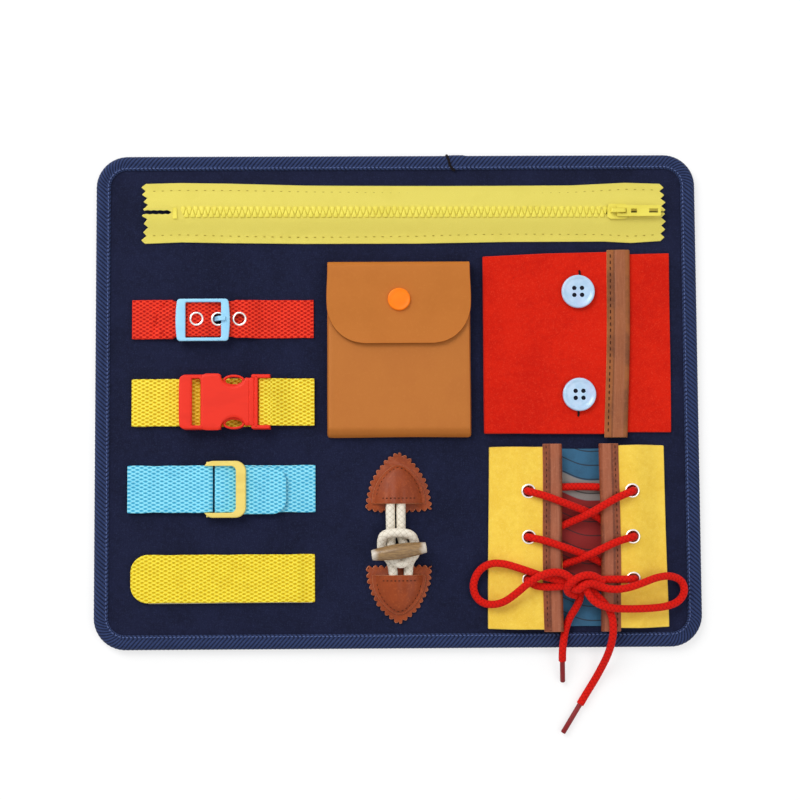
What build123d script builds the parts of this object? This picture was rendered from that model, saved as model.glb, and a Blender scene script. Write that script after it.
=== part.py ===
"""Fabric activity board with ten dressing exercises, modelled piece by piece.

Frame: millimetres, the board lies flat with its back on z = 0, +Z comes out of its face, +X runs along
its width and +Y towards the zip. The origin is the centre of the board's back.
"""

import math
import os

from build123d import *

os.makedirs("parts", exist_ok=True)

# ---------------------------------------------------------------- board
board_width = 320.0
board_height = 262.0
corner_radius = 17.0
felt = 1.5
stiffener = 2.0
binding_wall = 1.0
binding_width = 8.0
binding_round = 1.6

# ---------------------------------------------------------------- shared stock
leather = 1.2
hook_tape = 0.6
running_gap = 0.3
seat_gap = 0.1
strap_right = -44.0
strap_left = -140.0

# ---------------------------------------------------------------- zip
zip_y = 99.5
zip_left = -134.5
zip_right = 143.0
tape_half = 15.8
tape = 0.6
tape_edge = 1.2
tape_raised = 2.0
tape_flat_edge = 6.4
tape_raised_edge = 4.6
pinking_pitch = 4.4
pinking_depth = 2.4
tooth_pitch = 3.3
tooth_width = 1.35
tooth_height = 2.2
tooth_leg = 3.0
tooth_head = 0.8
chain_left = -113.1
slider_length = 11.0
slider_left = 112.3
slider_plate = 0.8
slider_half = 4.0
slider_rim = 0.8
slider_gap = 0.2
wedge_half = 0.9
wedge_length = 3.0
bail_wire = 1.0
bail_half = 1.0
bail_rise = 2.6
bail_reach = 3.4
puller_thickness = 1.2
puller_half = 2.9
puller_length = 23.4
puller_bar = 0.75
puller_slot_half = 1.4
puller_windows = ((2.4, 5.6), (12.0, 16.8))
puller_window_half = 1.1
stop_length = 2.2

# ---------------------------------------------------------------- belt
belt_y = 43.0
belt_width = 19.2
belt_web = 1.0
belt_frame_left = -116.7
belt_frame_right = -88.1
belt_left_bar = 5.2
belt_right_bar = 4.6
belt_frame_thickness = 2.0
belt_rail = 1.5
belt_pivot_x = -103.0
belt_bar_width = 2.4
belt_bar_thickness = 1.2
belt_tip_x = -126.5
belt_point = 6.0
belt_wrap_reach = 3.5
belt_hump = 1.1
eyelet_pitch = 11.3
eyelet_middle_x = -94.5
belt_eyelet_hole = 5.2
belt_eyelet_outer = 7.7
eyelet_flange = 0.35
eyelet_wall = 0.3
prong_wire = 0.6
prong_width = 2.4
prong_thickness = 1.2
prong_tip_x = -90.3
prong_clearance = 0.25
prong_rise_run = 2.0
prong_seat_lead = 0.9

# ---------------------------------------------------------------- clip
clip_y = -1.2
clip_web = 1.2
clip_strap_width = 24.4
clip_left = -114.2
clip_width = 28.8
clip_height = 7.4
clip_wall = 1.5
clip_outer_bar = 6.3
clip_slot = 4.8
clip_mouth_x = -78.0
clip_notch_x = -86.0
clip_notch_half = 7.0
clip_notch_depth = 6.4
clip_lift = 0.5
clip_bar = 1.0
clip_bar_inset = 1.0
clip_wrap_inset = 1.0
clip_wrap_slope = 7.0
plug_right = -66.8
plug_base = 4.4
plug_waist_half = 10.2
plug_flare = 1.8
plug_bar = 1.6
plug_bar_width = 2.0
plug_rise_run = 6.0
plug_wrap_inset = 0.5
plug_wrap_run = 11.5
plug_low_inset = 1.0
arm_length = 19.0
arm_pad_length = 13.6
arm_pad_width = 5.4
arm_window_length = 8.2
arm_window_width = 2.6
arm_neck = 2.2
arm_root_y = 7.6
arm_overlap = 0.4

# ---------------------------------------------------------------- slide strap
slide_y = -47.0
slide_web = 1.2
slide_strap_width = 24.0
slide_left = -142.0
slide_bar = 5.2
slide_bar_left = -84.8
slide_frame_left = -102.2
slide_frame_width = 29.8
slide_frame_thickness = 2.4
slide_rail = 2.7
slide_corner = 5.5
slide_round_bar = 1.6
slide_anchor_bar_x = -99.6
slide_centre_bar_x = -93.6
slide_tip_end = -58.8
slide_hinge_x = -78.0
slide_wrap_slope = 6.0
slide_return_lift = 0.5
slide_return_lead = 1.0

# ---------------------------------------------------------------- tab
tab_y = -93.7
tab_web = 1.2
tab_width = 24.4
tab_hinge_x = -54.0
tab_corner = 11.0
tab_tape_margin = 4.0
tab_tape_length = 52.0
tab_step = 3.0
tab_step_end = 2.0

# ---------------------------------------------------------------- pouch
pouch_left = -36.3
pouch_right = 38.3
pouch_top = 73.5
pouch_bottom = -19.6
pouch_depth = 4.4
pouch_mouth = 6.4
flap_bottom = 30.0
flap_corner = 19.0
snap_y = 53.5
snap_cap = 12.4
snap_cap_height = 1.9
snap_ring = 9.0
snap_post = 3.8
snap_flange = 0.25

# ---------------------------------------------------------------- buttoned panel
panel_left = 45.2
panel_right = 144.6
panel_top = 76.6
panel_bottom = -18.0
red_flap_right = 119.0
red_trim_left = 110.8
red_trim_right = 122.4
red_trim_overhang = 2.4
trim_leather = 1.0
button_x = 96.0
button_upper_y = 56.5
button_lower_y = 1.9
button_diameter = 18.0
button_thickness = 2.6
button_rim = 2.2
button_dish = 0.8
button_hole = 1.8
button_hole_offset = 2.1
thread = 1.2
shank = 3.0
buttonhole = 24.0
slit_length = 22.0
slit_width = 3.8
slit_shift = 2.2

# ---------------------------------------------------------------- toggle frog
toggle_x = 0.4
toggle_y = -79.8
toggle_length = 28.7
toggle_middle = 8.0
toggle_end = 5.4
toggle_tilt = 8.0
toggle_z = 18.0
patch_half = 17.4
patch_length = 30.0
patch_upper_base = -58.4
patch_lower_base = -89.0
patch_pinks = 26
patch_pink_depth = 1.5
patch_power = 1.45
facing_inset = 4.0
facing_pocket = 4.4
cord = 4.2
cord_spacing = 5.6

# ---------------------------------------------------------------- lacing
lacing_top = -25.9
lacing_bottom = -120.4
lacing_outer_left = 46.8
lacing_inner_left = 85.3
lacing_inner_right = 106.6
lacing_outer_right = 141.0
lacing_sewn = 7.0
lacing_ramp = 6.0
lacing_lift = 5.1
lacing_trim_width = 9.4
picture = 0.6
picture_overlap = 6.0
lace = 4.0
lace_eyelet_hole = 5.4
lace_eyelet_outer = 7.4
eyelet_left_x = 68.4
eyelet_right_x = 122.9
eyelet_rows = (-48.8, -72.8, -95.0)
aglet = 2.7

# ---------------------------------------------------------------- derived levels
face_z = 2 * felt + stiffener
binding_top = face_z + binding_wall
tape_z = face_z + tape_raised
tooth_z = tape_z + tape / 2 - tooth_height / 2


def save(builder, name):
    """Label a finished piece and write it as one STEP file."""
    builder.part.label = name
    export_step(builder.part, f"parts/{name}.step")


def block(low, high, mode=Mode.ADD):
    """A box between two corners, added to or cut from the piece being built."""
    middle = tuple((a + b) / 2 for a, b in zip(low, high))
    size = tuple(b - a for a, b in zip(low, high))
    with Locations(middle):
        Box(*size, mode=mode)


def strap(route, thickness, centre_y, width, bend):
    """A strap of even thickness whose centreline follows route, a list of (x, z), across width."""
    with BuildSketch(Plane.XZ.offset(-centre_y)) as section:
        with BuildLine():
            FilletPolyline(*route, radius=bend)
        trace(line_width=thickness)
    extrude(section.sketch, amount=width / 2, both=True)


def plate(outline, low_z, high_z):
    """A flat plate with a polygonal outline between two levels."""
    with BuildSketch(Plane.XY.offset(low_z)) as section:
        with BuildLine():
            Polyline(*outline, close=True)
        make_face()
    extrude(section.sketch, amount=high_z - low_z)


def rounded_plate(low, high, radius, low_z, high_z, mode=Mode.ADD):
    """A rectangular plate with rounded corners between two levels."""
    with BuildSketch(Plane.XY.offset(low_z)) as section:
        with Locations(((low[0] + high[0]) / 2, (low[1] + high[1]) / 2)):
            RectangleRounded(high[0] - low[0], high[1] - low[1], radius)
    extrude(section.sketch, amount=high_z - low_z, mode=mode)


def ring(x, y, outer, hole, low_z, high_z):
    """A flat ring between two levels."""
    with BuildSketch(Plane.XY.offset(low_z)) as section:
        with Locations((x, y)):
            Circle(outer / 2)
            Circle(hole / 2, mode=Mode.SUBTRACT)
    extrude(section.sketch, amount=high_z - low_z)


def bore(x, y, diameter, low_z, high_z):
    """A round hole between two levels, cut from the piece being built."""
    with Locations((x, y, (low_z + high_z) / 2)):
        Cylinder(diameter / 2, high_z - low_z, mode=Mode.SUBTRACT)


def corner_radii(route):
    """The largest arc for each corner of a route: 0.45 of its shorter run over the tangent of half its turn."""
    points = [Vector(*point) for point in route]
    radii = []
    for before, corner, after in zip(points, points[1:], points[2:]):
        run_in = corner - before
        run_out = after - corner
        half_turn = math.radians(run_in.get_angle(run_out)) / 2
        radii.append(0.45 * min(run_in.length, run_out.length) / math.tan(half_turn))
    return radii


def tube(route, diameter, name):
    """A cord's tube of straight runs and tangent arcs along a route."""
    radii = corner_radii(route)
    with BuildPart() as cord_tube:
        with BuildLine() as path:
            FilletPolyline(*route, radius=radii)
        run = path.wires()[0]
        with BuildSketch(Plane(origin=run @ 0, z_dir=run % 0)):
            Circle(diameter / 2)
        sweep(path=run)
    length = run.length
    share = cord_tube.part.volume / (math.pi * diameter**2 / 4 * length)
    print(f"{name}: length {length:.1f}, radii {[round(r, 1) for r in radii]}, volume share {share:.4f}")
    return cord_tube.part


# ================================================================ board
def board_outline(inset, low_z, high_z, mode=Mode.ADD):
    """The board's rounded outline, inset from its rim, between two levels."""
    half_x = board_width / 2 - inset
    half_y = board_height / 2 - inset
    rounded_plate((-half_x, -half_y), (half_x, half_y), corner_radius - inset, low_z, high_z, mode)


with BuildPart() as back_felt:
    board_outline(binding_width, 0, binding_wall)
    board_outline(binding_wall, binding_wall, felt)
save(back_felt, "back_felt")

with BuildPart() as stiffener_sheet:
    board_outline(binding_wall, felt, felt + stiffener)
save(stiffener_sheet, "stiffener_sheet")

with BuildPart() as front_felt:
    board_outline(binding_wall, felt + stiffener, face_z)
save(front_felt, "front_felt")

with BuildPart() as edge_binding:
    board_outline(0, 0, binding_top)
    rim = edge_binding.faces().sort_by(Axis.Z)[-1].edges() + edge_binding.faces().sort_by(Axis.Z)[0].edges()
    fillet(rim, binding_round)
    board_outline(binding_wall, binding_wall, face_z, Mode.SUBTRACT)
    board_outline(binding_width, 0, binding_top, Mode.SUBTRACT)
save(edge_binding, "edge_binding")


# ================================================================ zip
def tape_profile(side):
    """Section of one zip tape: sewn flat at its outer edge, raised at the chain. Local x is along +Y."""
    steps = [
        (tape_half, face_z),
        (tape_flat_edge, face_z),
        (tape_raised_edge, tape_z),
        (tape_edge, tape_z),
        (tape_edge, tape_z + tape),
        (tape_raised_edge + tape / 2, tape_z + tape),
        (tape_flat_edge + tape / 2, face_z + tape),
        (tape_half, face_z + tape),
    ]
    return [(zip_y + side * y, z) for y, z in steps]


def pinking(end_x, side):
    """Triangles of a pinked edge at one end of the zip, from the chain out to the tape's edge."""
    count = round(tape_half / pinking_pitch)
    pitch = tape_half / count
    inward = -1 if end_x > 0 else 1
    for index in range(count + 1):
        y = zip_y + side * index * pitch
        corners = [(end_x, y - pitch / 2), (end_x, y + pitch / 2), (end_x + inward * pinking_depth, y)]
        with BuildSketch(Plane.XY) as notch:
            with BuildLine():
                Polyline(*corners, close=True)
            make_face()
        extrude(notch.sketch, amount=tape_z + 2 * tape, mode=Mode.SUBTRACT)


def zip_tape(side):
    """One tape of the zip; side is 1 above the chain and -1 below it."""
    with BuildPart() as cloth:
        with BuildSketch(Plane.YZ.offset(zip_left)):
            with BuildLine():
                Polyline(*tape_profile(side), close=True)
            make_face()
        extrude(amount=zip_right - zip_left)
        for end_x in (zip_left, zip_right):
            pinking(end_x, side)
    return cloth


def zip_teeth(side):
    """One row of teeth, clamped on the raised edge of its tape, set half a pitch from the other row."""
    count = int((slider_left - chain_left) / tooth_pitch) + 1
    shift = 0 if side > 0 else tooth_pitch / 2
    with BuildPart() as row:
        for index in range(count):
            x = chain_left + shift + index * tooth_pitch
            low_y, high_y = sorted((zip_y - side * tooth_head, zip_y + side * tooth_leg))
            block((x - tooth_width / 2, low_y, tooth_z), (x + tooth_width / 2, high_y, tooth_z + tooth_height))
        low_y, high_y = sorted((zip_y + side * tape_edge, zip_y + side * tape_half))
        block((zip_left, low_y, tape_z), (zip_right, high_y, tape_z + tape), Mode.SUBTRACT)
    return row


for side, word in ((1, "upper"), (-1, "lower")):
    save(zip_tape(side), f"zip_tape_{word}")
    save(zip_teeth(side), f"zip_teeth_{word}")

slider_low = tooth_z - slider_gap - slider_plate
slider_high = tooth_z + tooth_height + slider_gap + slider_plate
slider_right = slider_left + slider_length
pivot_x = slider_left + slider_length / 2
pivot_z = slider_high + bail_rise / 2
with BuildPart() as zip_slider:
    for low_z, high_z in ((slider_low, slider_low + slider_plate), (slider_high - slider_plate, slider_high)):
        rounded_plate(
            (slider_left, zip_y - slider_half), (slider_right, zip_y + slider_half), slider_half / 2, low_z, high_z
        )
    for side in (-1, 1):
        low_y, high_y = sorted((zip_y + side * (slider_half - slider_rim), zip_y + side * slider_half))
        ends = slider_left + slider_half / 2, slider_right - slider_half / 2
        block((ends[0], low_y, slider_low), (ends[1], high_y, tape_z - slider_gap))
        block((ends[0], low_y, tape_z + tape + slider_gap), (ends[1], high_y, slider_high))
    block(
        (slider_right - wedge_length, zip_y - wedge_half, slider_low),
        (slider_right, zip_y + wedge_half, slider_high),
    )
    bail_half_length = bail_reach + bail_wire / 2
    with BuildSketch(Plane.XZ.offset(-zip_y)):
        with Locations((pivot_x, slider_high + (bail_rise + bail_wire) / 2)):
            Rectangle(2 * bail_half_length, bail_rise + bail_wire)
        with Locations((pivot_x, slider_high + bail_rise / 2)):
            Rectangle(2 * bail_half_length - 2 * bail_wire, bail_rise, mode=Mode.SUBTRACT)
    extrude(amount=bail_half, both=True)
    arch_top = zip_slider.edges().filter_by(Axis.Y).group_by(Axis.Z)[-1]
    fillet(arch_top, bail_wire)
save(zip_slider, "zip_slider")

puller_left = pivot_x - puller_bar
puller_right = puller_left + puller_length
with BuildPart() as zip_puller:
    rounded_plate(
        (puller_left, zip_y - puller_half),
        (puller_right, zip_y + puller_half),
        puller_bar,
        pivot_z - puller_thickness / 2,
        pivot_z + puller_thickness / 2,
    )
    eye_end = bail_reach + bail_wire
    windows = [(puller_bar, eye_end, puller_slot_half)]
    windows += [(eye_end + start, eye_end + end, puller_window_half) for start, end in puller_windows]
    for start, end, half in windows:
        block(
            (pivot_x + start, zip_y - half, pivot_z - puller_thickness),
            (pivot_x + end, zip_y + half, pivot_z + puller_thickness),
            Mode.SUBTRACT,
        )
save(zip_puller, "zip_puller")

with BuildPart() as zip_end_stops:
    for side in (-1, 1):
        low_y, high_y = sorted((zip_y + side * tape_edge, zip_y + side * tooth_leg))
        block(
            (slider_right + running_gap, low_y, tooth_z),
            (slider_right + running_gap + stop_length, high_y, tooth_z + tooth_height),
        )
    block(
        (chain_left - tooth_pitch - stop_length, zip_y - tooth_leg, tooth_z),
        (chain_left - tooth_pitch, zip_y + tooth_leg, tooth_z + tooth_height),
    )
    for side in (-1, 1):
        low_y, high_y = sorted((zip_y + side * tape_edge, zip_y + side * tape_half))
        block((zip_left, low_y, tape_z), (zip_right, high_y, tape_z + tape), Mode.SUBTRACT)
save(zip_end_stops, "zip_end_stops")


# ================================================================ belt
belt_low = face_z + belt_web / 2
belt_double = belt_low + belt_web + seat_gap
belt_bar_z = face_z + belt_web + seat_gap
belt_pivot_z = belt_bar_z + belt_bar_thickness / 2
belt_wrap = belt_bar_z + belt_bar_thickness + seat_gap + belt_web / 2
belt_fold_x = belt_pivot_x + belt_bar_width / 2 + seat_gap + belt_web / 2
tongue_hump = belt_wrap + belt_web + seat_gap
tongue_window = tongue_hump - belt_hump
belt_frame_z = tongue_window + belt_web / 2 + eyelet_flange + running_gap
prong_slot = prong_width + 4 * prong_clearance

with BuildPart() as belt_base_strap:
    strap(
        [
            (strap_left, belt_low),
            (belt_fold_x, belt_low),
            (belt_fold_x, belt_wrap),
            (belt_pivot_x - belt_wrap_reach, belt_wrap),
            (belt_frame_left + belt_left_bar, belt_double),
            (strap_left, belt_double),
        ],
        belt_web,
        belt_y,
        belt_width,
        belt_web * 0.7,
    )
    slot_low = (belt_pivot_x - belt_bar_width, belt_y - prong_slot / 2, face_z)
    slot_high = (belt_fold_x + belt_web, belt_y + prong_slot / 2, tongue_hump)
    block(slot_low, slot_high, Mode.SUBTRACT)
save(belt_base_strap, "belt_base_strap")

eyelet_xs = [eyelet_middle_x + step * eyelet_pitch for step in (-1, 0, 1)]
with BuildPart() as belt_tongue:
    strap(
        [
            (belt_tip_x, tongue_window),
            (belt_frame_left + belt_left_bar, tongue_window),
            (eyelet_xs[0] - belt_eyelet_outer / 2, tongue_hump),
            (belt_fold_x + belt_web / 2, tongue_hump),
            (eyelet_xs[1] - belt_eyelet_outer / 2, tongue_window),
            (eyelet_xs[2] + belt_eyelet_outer / 2, tongue_window),
            (eyelet_xs[2] + 3 * belt_eyelet_outer / 2, belt_low),
            (strap_right, belt_low),
        ],
        belt_web,
        belt_y,
        belt_width,
        belt_web,
    )
    for side in (-1, 1):
        corner = (belt_tip_x, belt_y + side * belt_width / 2)
        with BuildSketch(Plane.XY) as point:
            with BuildLine():
                Polyline(
                    corner,
                    (belt_tip_x + belt_point, corner[1]),
                    (belt_tip_x, belt_y + side * belt_width / 6),
                    close=True,
                )
            make_face()
        extrude(point.sketch, amount=tongue_hump + belt_web, mode=Mode.SUBTRACT)
    for x in eyelet_xs:
        bore(x, belt_y, belt_eyelet_hole + 2 * eyelet_wall, face_z, tongue_hump + belt_web)
save(belt_tongue, "belt_tongue")

with BuildPart() as belt_eyelets:
    for x, middle in zip(eyelet_xs, (tongue_hump, tongue_window, tongue_window)):
        under = middle - belt_web / 2
        over = middle + belt_web / 2
        ring(x, belt_y, belt_eyelet_hole + 2 * eyelet_wall, belt_eyelet_hole, under, over)
        ring(x, belt_y, belt_eyelet_outer, belt_eyelet_hole, over, over + eyelet_flange)
save(belt_eyelets, "belt_eyelets")

frame_half = belt_width / 2 + running_gap
frame_outer = frame_half + belt_rail
frame_top = belt_frame_z + belt_frame_thickness
with BuildPart() as belt_buckle:
    rounded_plate(
        (belt_frame_left, belt_y - frame_outer),
        (belt_frame_right, belt_y + frame_outer),
        belt_rail,
        belt_frame_z,
        frame_top,
    )
    block(
        (belt_frame_left + belt_left_bar, belt_y - frame_half, belt_frame_z),
        (belt_frame_right - belt_right_bar, belt_y + frame_half, frame_top),
        Mode.SUBTRACT,
    )
    fillet(belt_buckle.faces().sort_by(Axis.Z)[-1].edges(), belt_rail / 4)
    bar_left = belt_pivot_x - belt_bar_width / 2
    bar_right = belt_pivot_x + belt_bar_width / 2
    block(
        (bar_left, belt_y - frame_outer, belt_bar_z),
        (bar_right, belt_y + frame_outer, belt_bar_z + belt_bar_thickness),
    )
    for side in (-1, 1):
        low_y, high_y = sorted((belt_y + side * frame_half, belt_y + side * frame_outer))
        block((bar_left, low_y, belt_bar_z), (bar_right, high_y, belt_frame_z + belt_frame_thickness / 2))
save(belt_buckle, "belt_buckle")

ring_half_x = belt_bar_width / 2 + prong_clearance
ring_half_z = belt_bar_thickness / 2 + prong_clearance
prong_low = belt_pivot_z - ring_half_z - prong_wire
prong_rest = frame_top + 2 * seat_gap
with BuildPart() as belt_prong:
    with BuildSketch(Plane.XZ.offset(-belt_y)):
        with Locations((belt_pivot_x, belt_pivot_z)):
            RectangleRounded(2 * (ring_half_x + prong_wire), 2 * (ring_half_z + prong_wire), prong_wire)
            Rectangle(2 * ring_half_x, 2 * ring_half_z, mode=Mode.SUBTRACT)
        with BuildLine():
            FilletPolyline(
                (belt_pivot_x + ring_half_x + prong_wire / 2, prong_low + prong_thickness / 2),
                (eyelet_middle_x - prong_rise_run, prong_low + prong_thickness / 2),
                (belt_frame_right - belt_right_bar - prong_seat_lead, prong_rest + prong_thickness / 2),
                (prong_tip_x, prong_rest + prong_thickness / 2),
                radius=prong_thickness / 2,
            )
        trace(line_width=prong_thickness)
    extrude(amount=prong_width / 2, both=True)
save(belt_prong, "belt_prong")


# ================================================================ clip
clip_low = face_z + clip_web / 2
clip_double = clip_low + clip_web + seat_gap
clip_bar_low = face_z + clip_web + seat_gap
clip_bar_high = clip_bar_low + clip_bar
clip_wrap = clip_bar_high + seat_gap + clip_web / 2
clip_floor = face_z + clip_lift
clip_top = clip_floor + clip_height
cavity_low = clip_floor + clip_wall
cavity_high = clip_top - clip_wall
clip_half = clip_width / 2
clip_inner_half = clip_half - clip_wall
outer_bar_right = clip_left + clip_outer_bar
slot_right = outer_bar_right + clip_slot
strap_half = clip_strap_width / 2 + running_gap

with BuildPart() as clip_strap_left:
    fold_x = slot_right - clip_web / 2 - seat_gap
    strap(
        [
            (strap_left, clip_low),
            (fold_x, clip_low),
            (fold_x, clip_wrap),
            (clip_left + clip_wrap_inset, clip_wrap),
            (clip_left + clip_wrap_inset - clip_wrap_slope, clip_double),
            (strap_left, clip_double),
        ],
        clip_web,
        clip_y,
        clip_strap_width,
        clip_web * 0.7,
    )
save(clip_strap_left, "clip_strap_left")

with BuildPart() as clip_socket:
    rounded_plate(
        (clip_left, clip_y - clip_half), (clip_mouth_x, clip_y + clip_half), clip_wall * 2, clip_floor, clip_top
    )
    fillet(clip_socket.faces().sort_by(Axis.Z)[-1].edges(), clip_wall / 2)
    block(
        (outer_bar_right, clip_y - strap_half, clip_floor), (slot_right, clip_y + strap_half, clip_top), Mode.SUBTRACT
    )
    block(
        (clip_left, clip_y - strap_half, clip_floor),
        (outer_bar_right, clip_y + strap_half, clip_wrap + clip_web / 2 + running_gap),
        Mode.SUBTRACT,
    )
    block(
        (slot_right + clip_wall, clip_y - clip_inner_half, cavity_low),
        (clip_mouth_x, clip_y + clip_inner_half, cavity_high),
        Mode.SUBTRACT,
    )
    with BuildSketch(Plane.XY.offset(clip_floor)):
        with Locations((clip_notch_x, clip_y - clip_half), (clip_notch_x, clip_y + clip_half)):
            Ellipse(clip_notch_half, clip_notch_depth)
        for side in (-1, 1):
            low_y, high_y = sorted((clip_y + side * plug_waist_half, clip_y + side * (clip_half + clip_wall)))
            with Locations(((clip_notch_x + clip_mouth_x) / 2, (low_y + high_y) / 2)):
                Rectangle(clip_mouth_x - clip_notch_x, high_y - low_y)
    extrude(amount=clip_height, mode=Mode.SUBTRACT)
    block(
        (outer_bar_right + clip_bar_inset, clip_y - strap_half, clip_bar_low),
        (slot_right - clip_web - 3 * seat_gap, clip_y + strap_half, clip_bar_high),
    )
save(clip_socket, "clip_socket")

plug_left = clip_mouth_x + running_gap
ear_left = plug_left + plug_base
plug_bar_left = ear_left + clip_web + 2 * seat_gap
plug_bar_low = clip_bar_low + clip_web
plug_bar_high = plug_bar_low + plug_bar
with BuildPart() as clip_plug:
    plate(
        [
            (plug_left, clip_y - plug_waist_half),
            (plug_left + plug_flare, clip_y - clip_half),
            (plug_right, clip_y - clip_half),
            (plug_right, clip_y + clip_half),
            (plug_left + plug_flare, clip_y + clip_half),
            (plug_left, clip_y + plug_waist_half),
        ],
        clip_floor,
        clip_top,
    )
    fillet(clip_plug.faces().sort_by(Axis.Z)[-1].edges(), clip_wall / 2)
    block((ear_left, clip_y - strap_half, clip_floor), (plug_right, clip_y + strap_half, clip_top), Mode.SUBTRACT)
    block(
        (plug_bar_left, clip_y - strap_half, plug_bar_low),
        (plug_bar_left + plug_bar_width, clip_y + strap_half, plug_bar_high),
    )
    block(
        (plug_left - arm_length, clip_y - clip_web, cavity_low + slider_gap),
        (plug_left, clip_y + clip_web, cavity_high - slider_gap),
    )
save(clip_plug, "clip_plug")

with BuildPart() as clip_strap_right:
    fold_x = plug_bar_left - seat_gap - clip_web / 2
    low_turn = plug_bar_low - seat_gap - clip_web / 2
    high_turn = plug_bar_high + seat_gap + clip_web / 2
    strap(
        [
            (strap_right, clip_low),
            (plug_right - plug_low_inset + plug_rise_run, clip_low),
            (plug_right - plug_low_inset, low_turn),
            (fold_x, low_turn),
            (fold_x, high_turn),
            (plug_right - plug_wrap_inset, high_turn),
            (plug_right - plug_wrap_inset + plug_wrap_run, clip_double),
            (strap_right, clip_double),
        ],
        clip_web,
        clip_y,
        clip_strap_width,
        clip_web * 0.7,
    )
save(clip_strap_right, "clip_strap_right")


def clip_arm(side):
    """One sprung arm of the plug: a leaf-shaped pad with an oval window, on a narrow neck."""
    pad_y = clip_y + side * (clip_inner_half + arm_overlap - arm_pad_width / 2)
    root_y = clip_y + side * arm_root_y
    with BuildPart() as arm:
        with BuildSketch(Plane.XY.offset(cavity_low + slider_gap)):
            with Locations((clip_notch_x, pad_y)):
                Ellipse(arm_pad_length / 2, arm_pad_width / 2)
            with BuildLine():
                Polyline((plug_left - slider_gap, root_y), (clip_notch_x, pad_y - side * arm_pad_width / 4))
            trace(line_width=arm_neck)
            with Locations((clip_notch_x, pad_y)):
                Ellipse(arm_window_length / 2, arm_window_width / 2, mode=Mode.SUBTRACT)
        extrude(amount=cavity_high - cavity_low - 2 * slider_gap)
    return arm


for side, word in ((1, "upper"), (-1, "lower")):
    save(clip_arm(side), f"clip_arm_{word}")


# ================================================================ slide strap
slide_low = face_z + slide_web / 2
slide_double = slide_low + slide_web + seat_gap
slide_bar_low = face_z + slide_web + seat_gap
slide_bar_high = slide_bar_low + slide_round_bar
slide_wrap = slide_bar_high + seat_gap + slide_web / 2
slide_return = slide_double + slide_return_lift
slide_frame_z = slide_return + slide_web / 2 + running_gap
slide_frame_top = slide_frame_z + slide_frame_thickness
slide_bar_right = slide_bar_left + slide_bar
slide_half = slide_strap_width / 2 + running_gap
bar_half = slide_round_bar / 2
turn = bar_half + seat_gap + slide_web / 2

with BuildPart() as slide_strap_anchor:
    strap(
        [
            (slide_left, slide_low),
            (slide_anchor_bar_x + turn, slide_low),
            (slide_anchor_bar_x + turn, slide_wrap),
            (slide_anchor_bar_x - turn, slide_wrap),
            (slide_frame_left - slide_wrap_slope, slide_double),
            (slide_left, slide_double),
        ],
        slide_web,
        slide_y,
        slide_strap_width,
        slide_web * 0.7,
    )
save(slide_strap_anchor, "slide_strap_anchor")

with BuildPart() as slide_strap_tongue:
    strap(
        [
            (strap_right, slide_low),
            (slide_centre_bar_x - turn, slide_low),
            (slide_centre_bar_x - turn, slide_wrap),
            (slide_centre_bar_x + turn, slide_wrap),
            (slide_bar_left - slide_return_lead, slide_return),
            (slide_hinge_x - seat_gap, slide_return),
        ],
        slide_web,
        slide_y,
        slide_strap_width,
        slide_web * 0.7,
    )
save(slide_strap_tongue, "slide_strap_tongue")

tip_low = face_z + slide_web + 2 * hook_tape
tip_high = tip_low + slide_web
with BuildPart() as slide_strap_tip:
    rounded_plate(
        (slide_hinge_x - slide_strap_width, slide_y - slide_strap_width / 2),
        (slide_tip_end, slide_y + slide_strap_width / 2),
        slide_strap_width * 0.42,
        tip_low,
        tip_high,
    )
    block(
        (slide_hinge_x - slide_strap_width, slide_y - slide_strap_width, tip_low),
        (slide_hinge_x + running_gap, slide_y + slide_strap_width, tip_high),
        Mode.SUBTRACT,
    )
save(slide_strap_tip, "slide_strap_tip")

pad_inset = 3.0
slide_pad_low = (slide_hinge_x + pad_inset, slide_y - slide_strap_width / 2 + pad_inset)
slide_pad_high = (slide_tip_end - 2 * pad_inset, slide_y + slide_strap_width / 2 - pad_inset)
with BuildPart() as slide_hook_pad:
    block((*slide_pad_low, tip_low - hook_tape), (*slide_pad_high, tip_low))
save(slide_hook_pad, "slide_hook_pad")

with BuildPart() as slide_buckle:
    rounded_plate(
        (slide_frame_left, slide_y - slide_frame_width / 2),
        (slide_bar_right, slide_y + slide_frame_width / 2),
        slide_corner,
        slide_frame_z,
        slide_frame_top,
    )
    fillet(slide_buckle.faces().sort_by(Axis.Z)[-1].edges(), slide_rail / 4)
    rounded_plate(
        (slide_frame_left + slide_rail, slide_y - slide_half),
        (slide_bar_left, slide_y + slide_half),
        slide_corner - slide_rail,
        slide_frame_z,
        slide_frame_top,
        Mode.SUBTRACT,
    )
    block(
        (slide_frame_left - slide_rail, slide_y - slide_half, slide_frame_z),
        (slide_frame_left + 2 * slide_rail, slide_y + slide_half, slide_frame_top),
        Mode.SUBTRACT,
    )
    for bar_x in (slide_anchor_bar_x, slide_centre_bar_x):
        block(
            (bar_x - bar_half, slide_y - slide_half, slide_bar_low),
            (bar_x + bar_half, slide_y + slide_half, slide_bar_high),
        )
        for side in (-1, 1):
            low_y, high_y = sorted((slide_y + side * slide_half, slide_y + side * (slide_half + slide_rail * 0.8)))
            block((bar_x - bar_half, low_y, slide_bar_low), (bar_x + bar_half, high_y, slide_frame_z + bar_half))
save(slide_buckle, "slide_buckle")


# ================================================================ tab
tab_low = face_z + 2 * hook_tape
tab_high = tab_low + tab_web
tab_half = tab_width / 2
with BuildPart() as tab_strap:
    rounded_plate(
        (strap_left, tab_y - tab_half), (tab_hinge_x + tab_width, tab_y + tab_half), tab_corner, tab_low, tab_high
    )
    block(
        (tab_hinge_x - running_gap, tab_y - tab_width, tab_low),
        (tab_hinge_x + 2 * tab_width, tab_y + tab_width, tab_high),
        Mode.SUBTRACT,
    )
save(tab_strap, "tab_strap")

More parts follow.
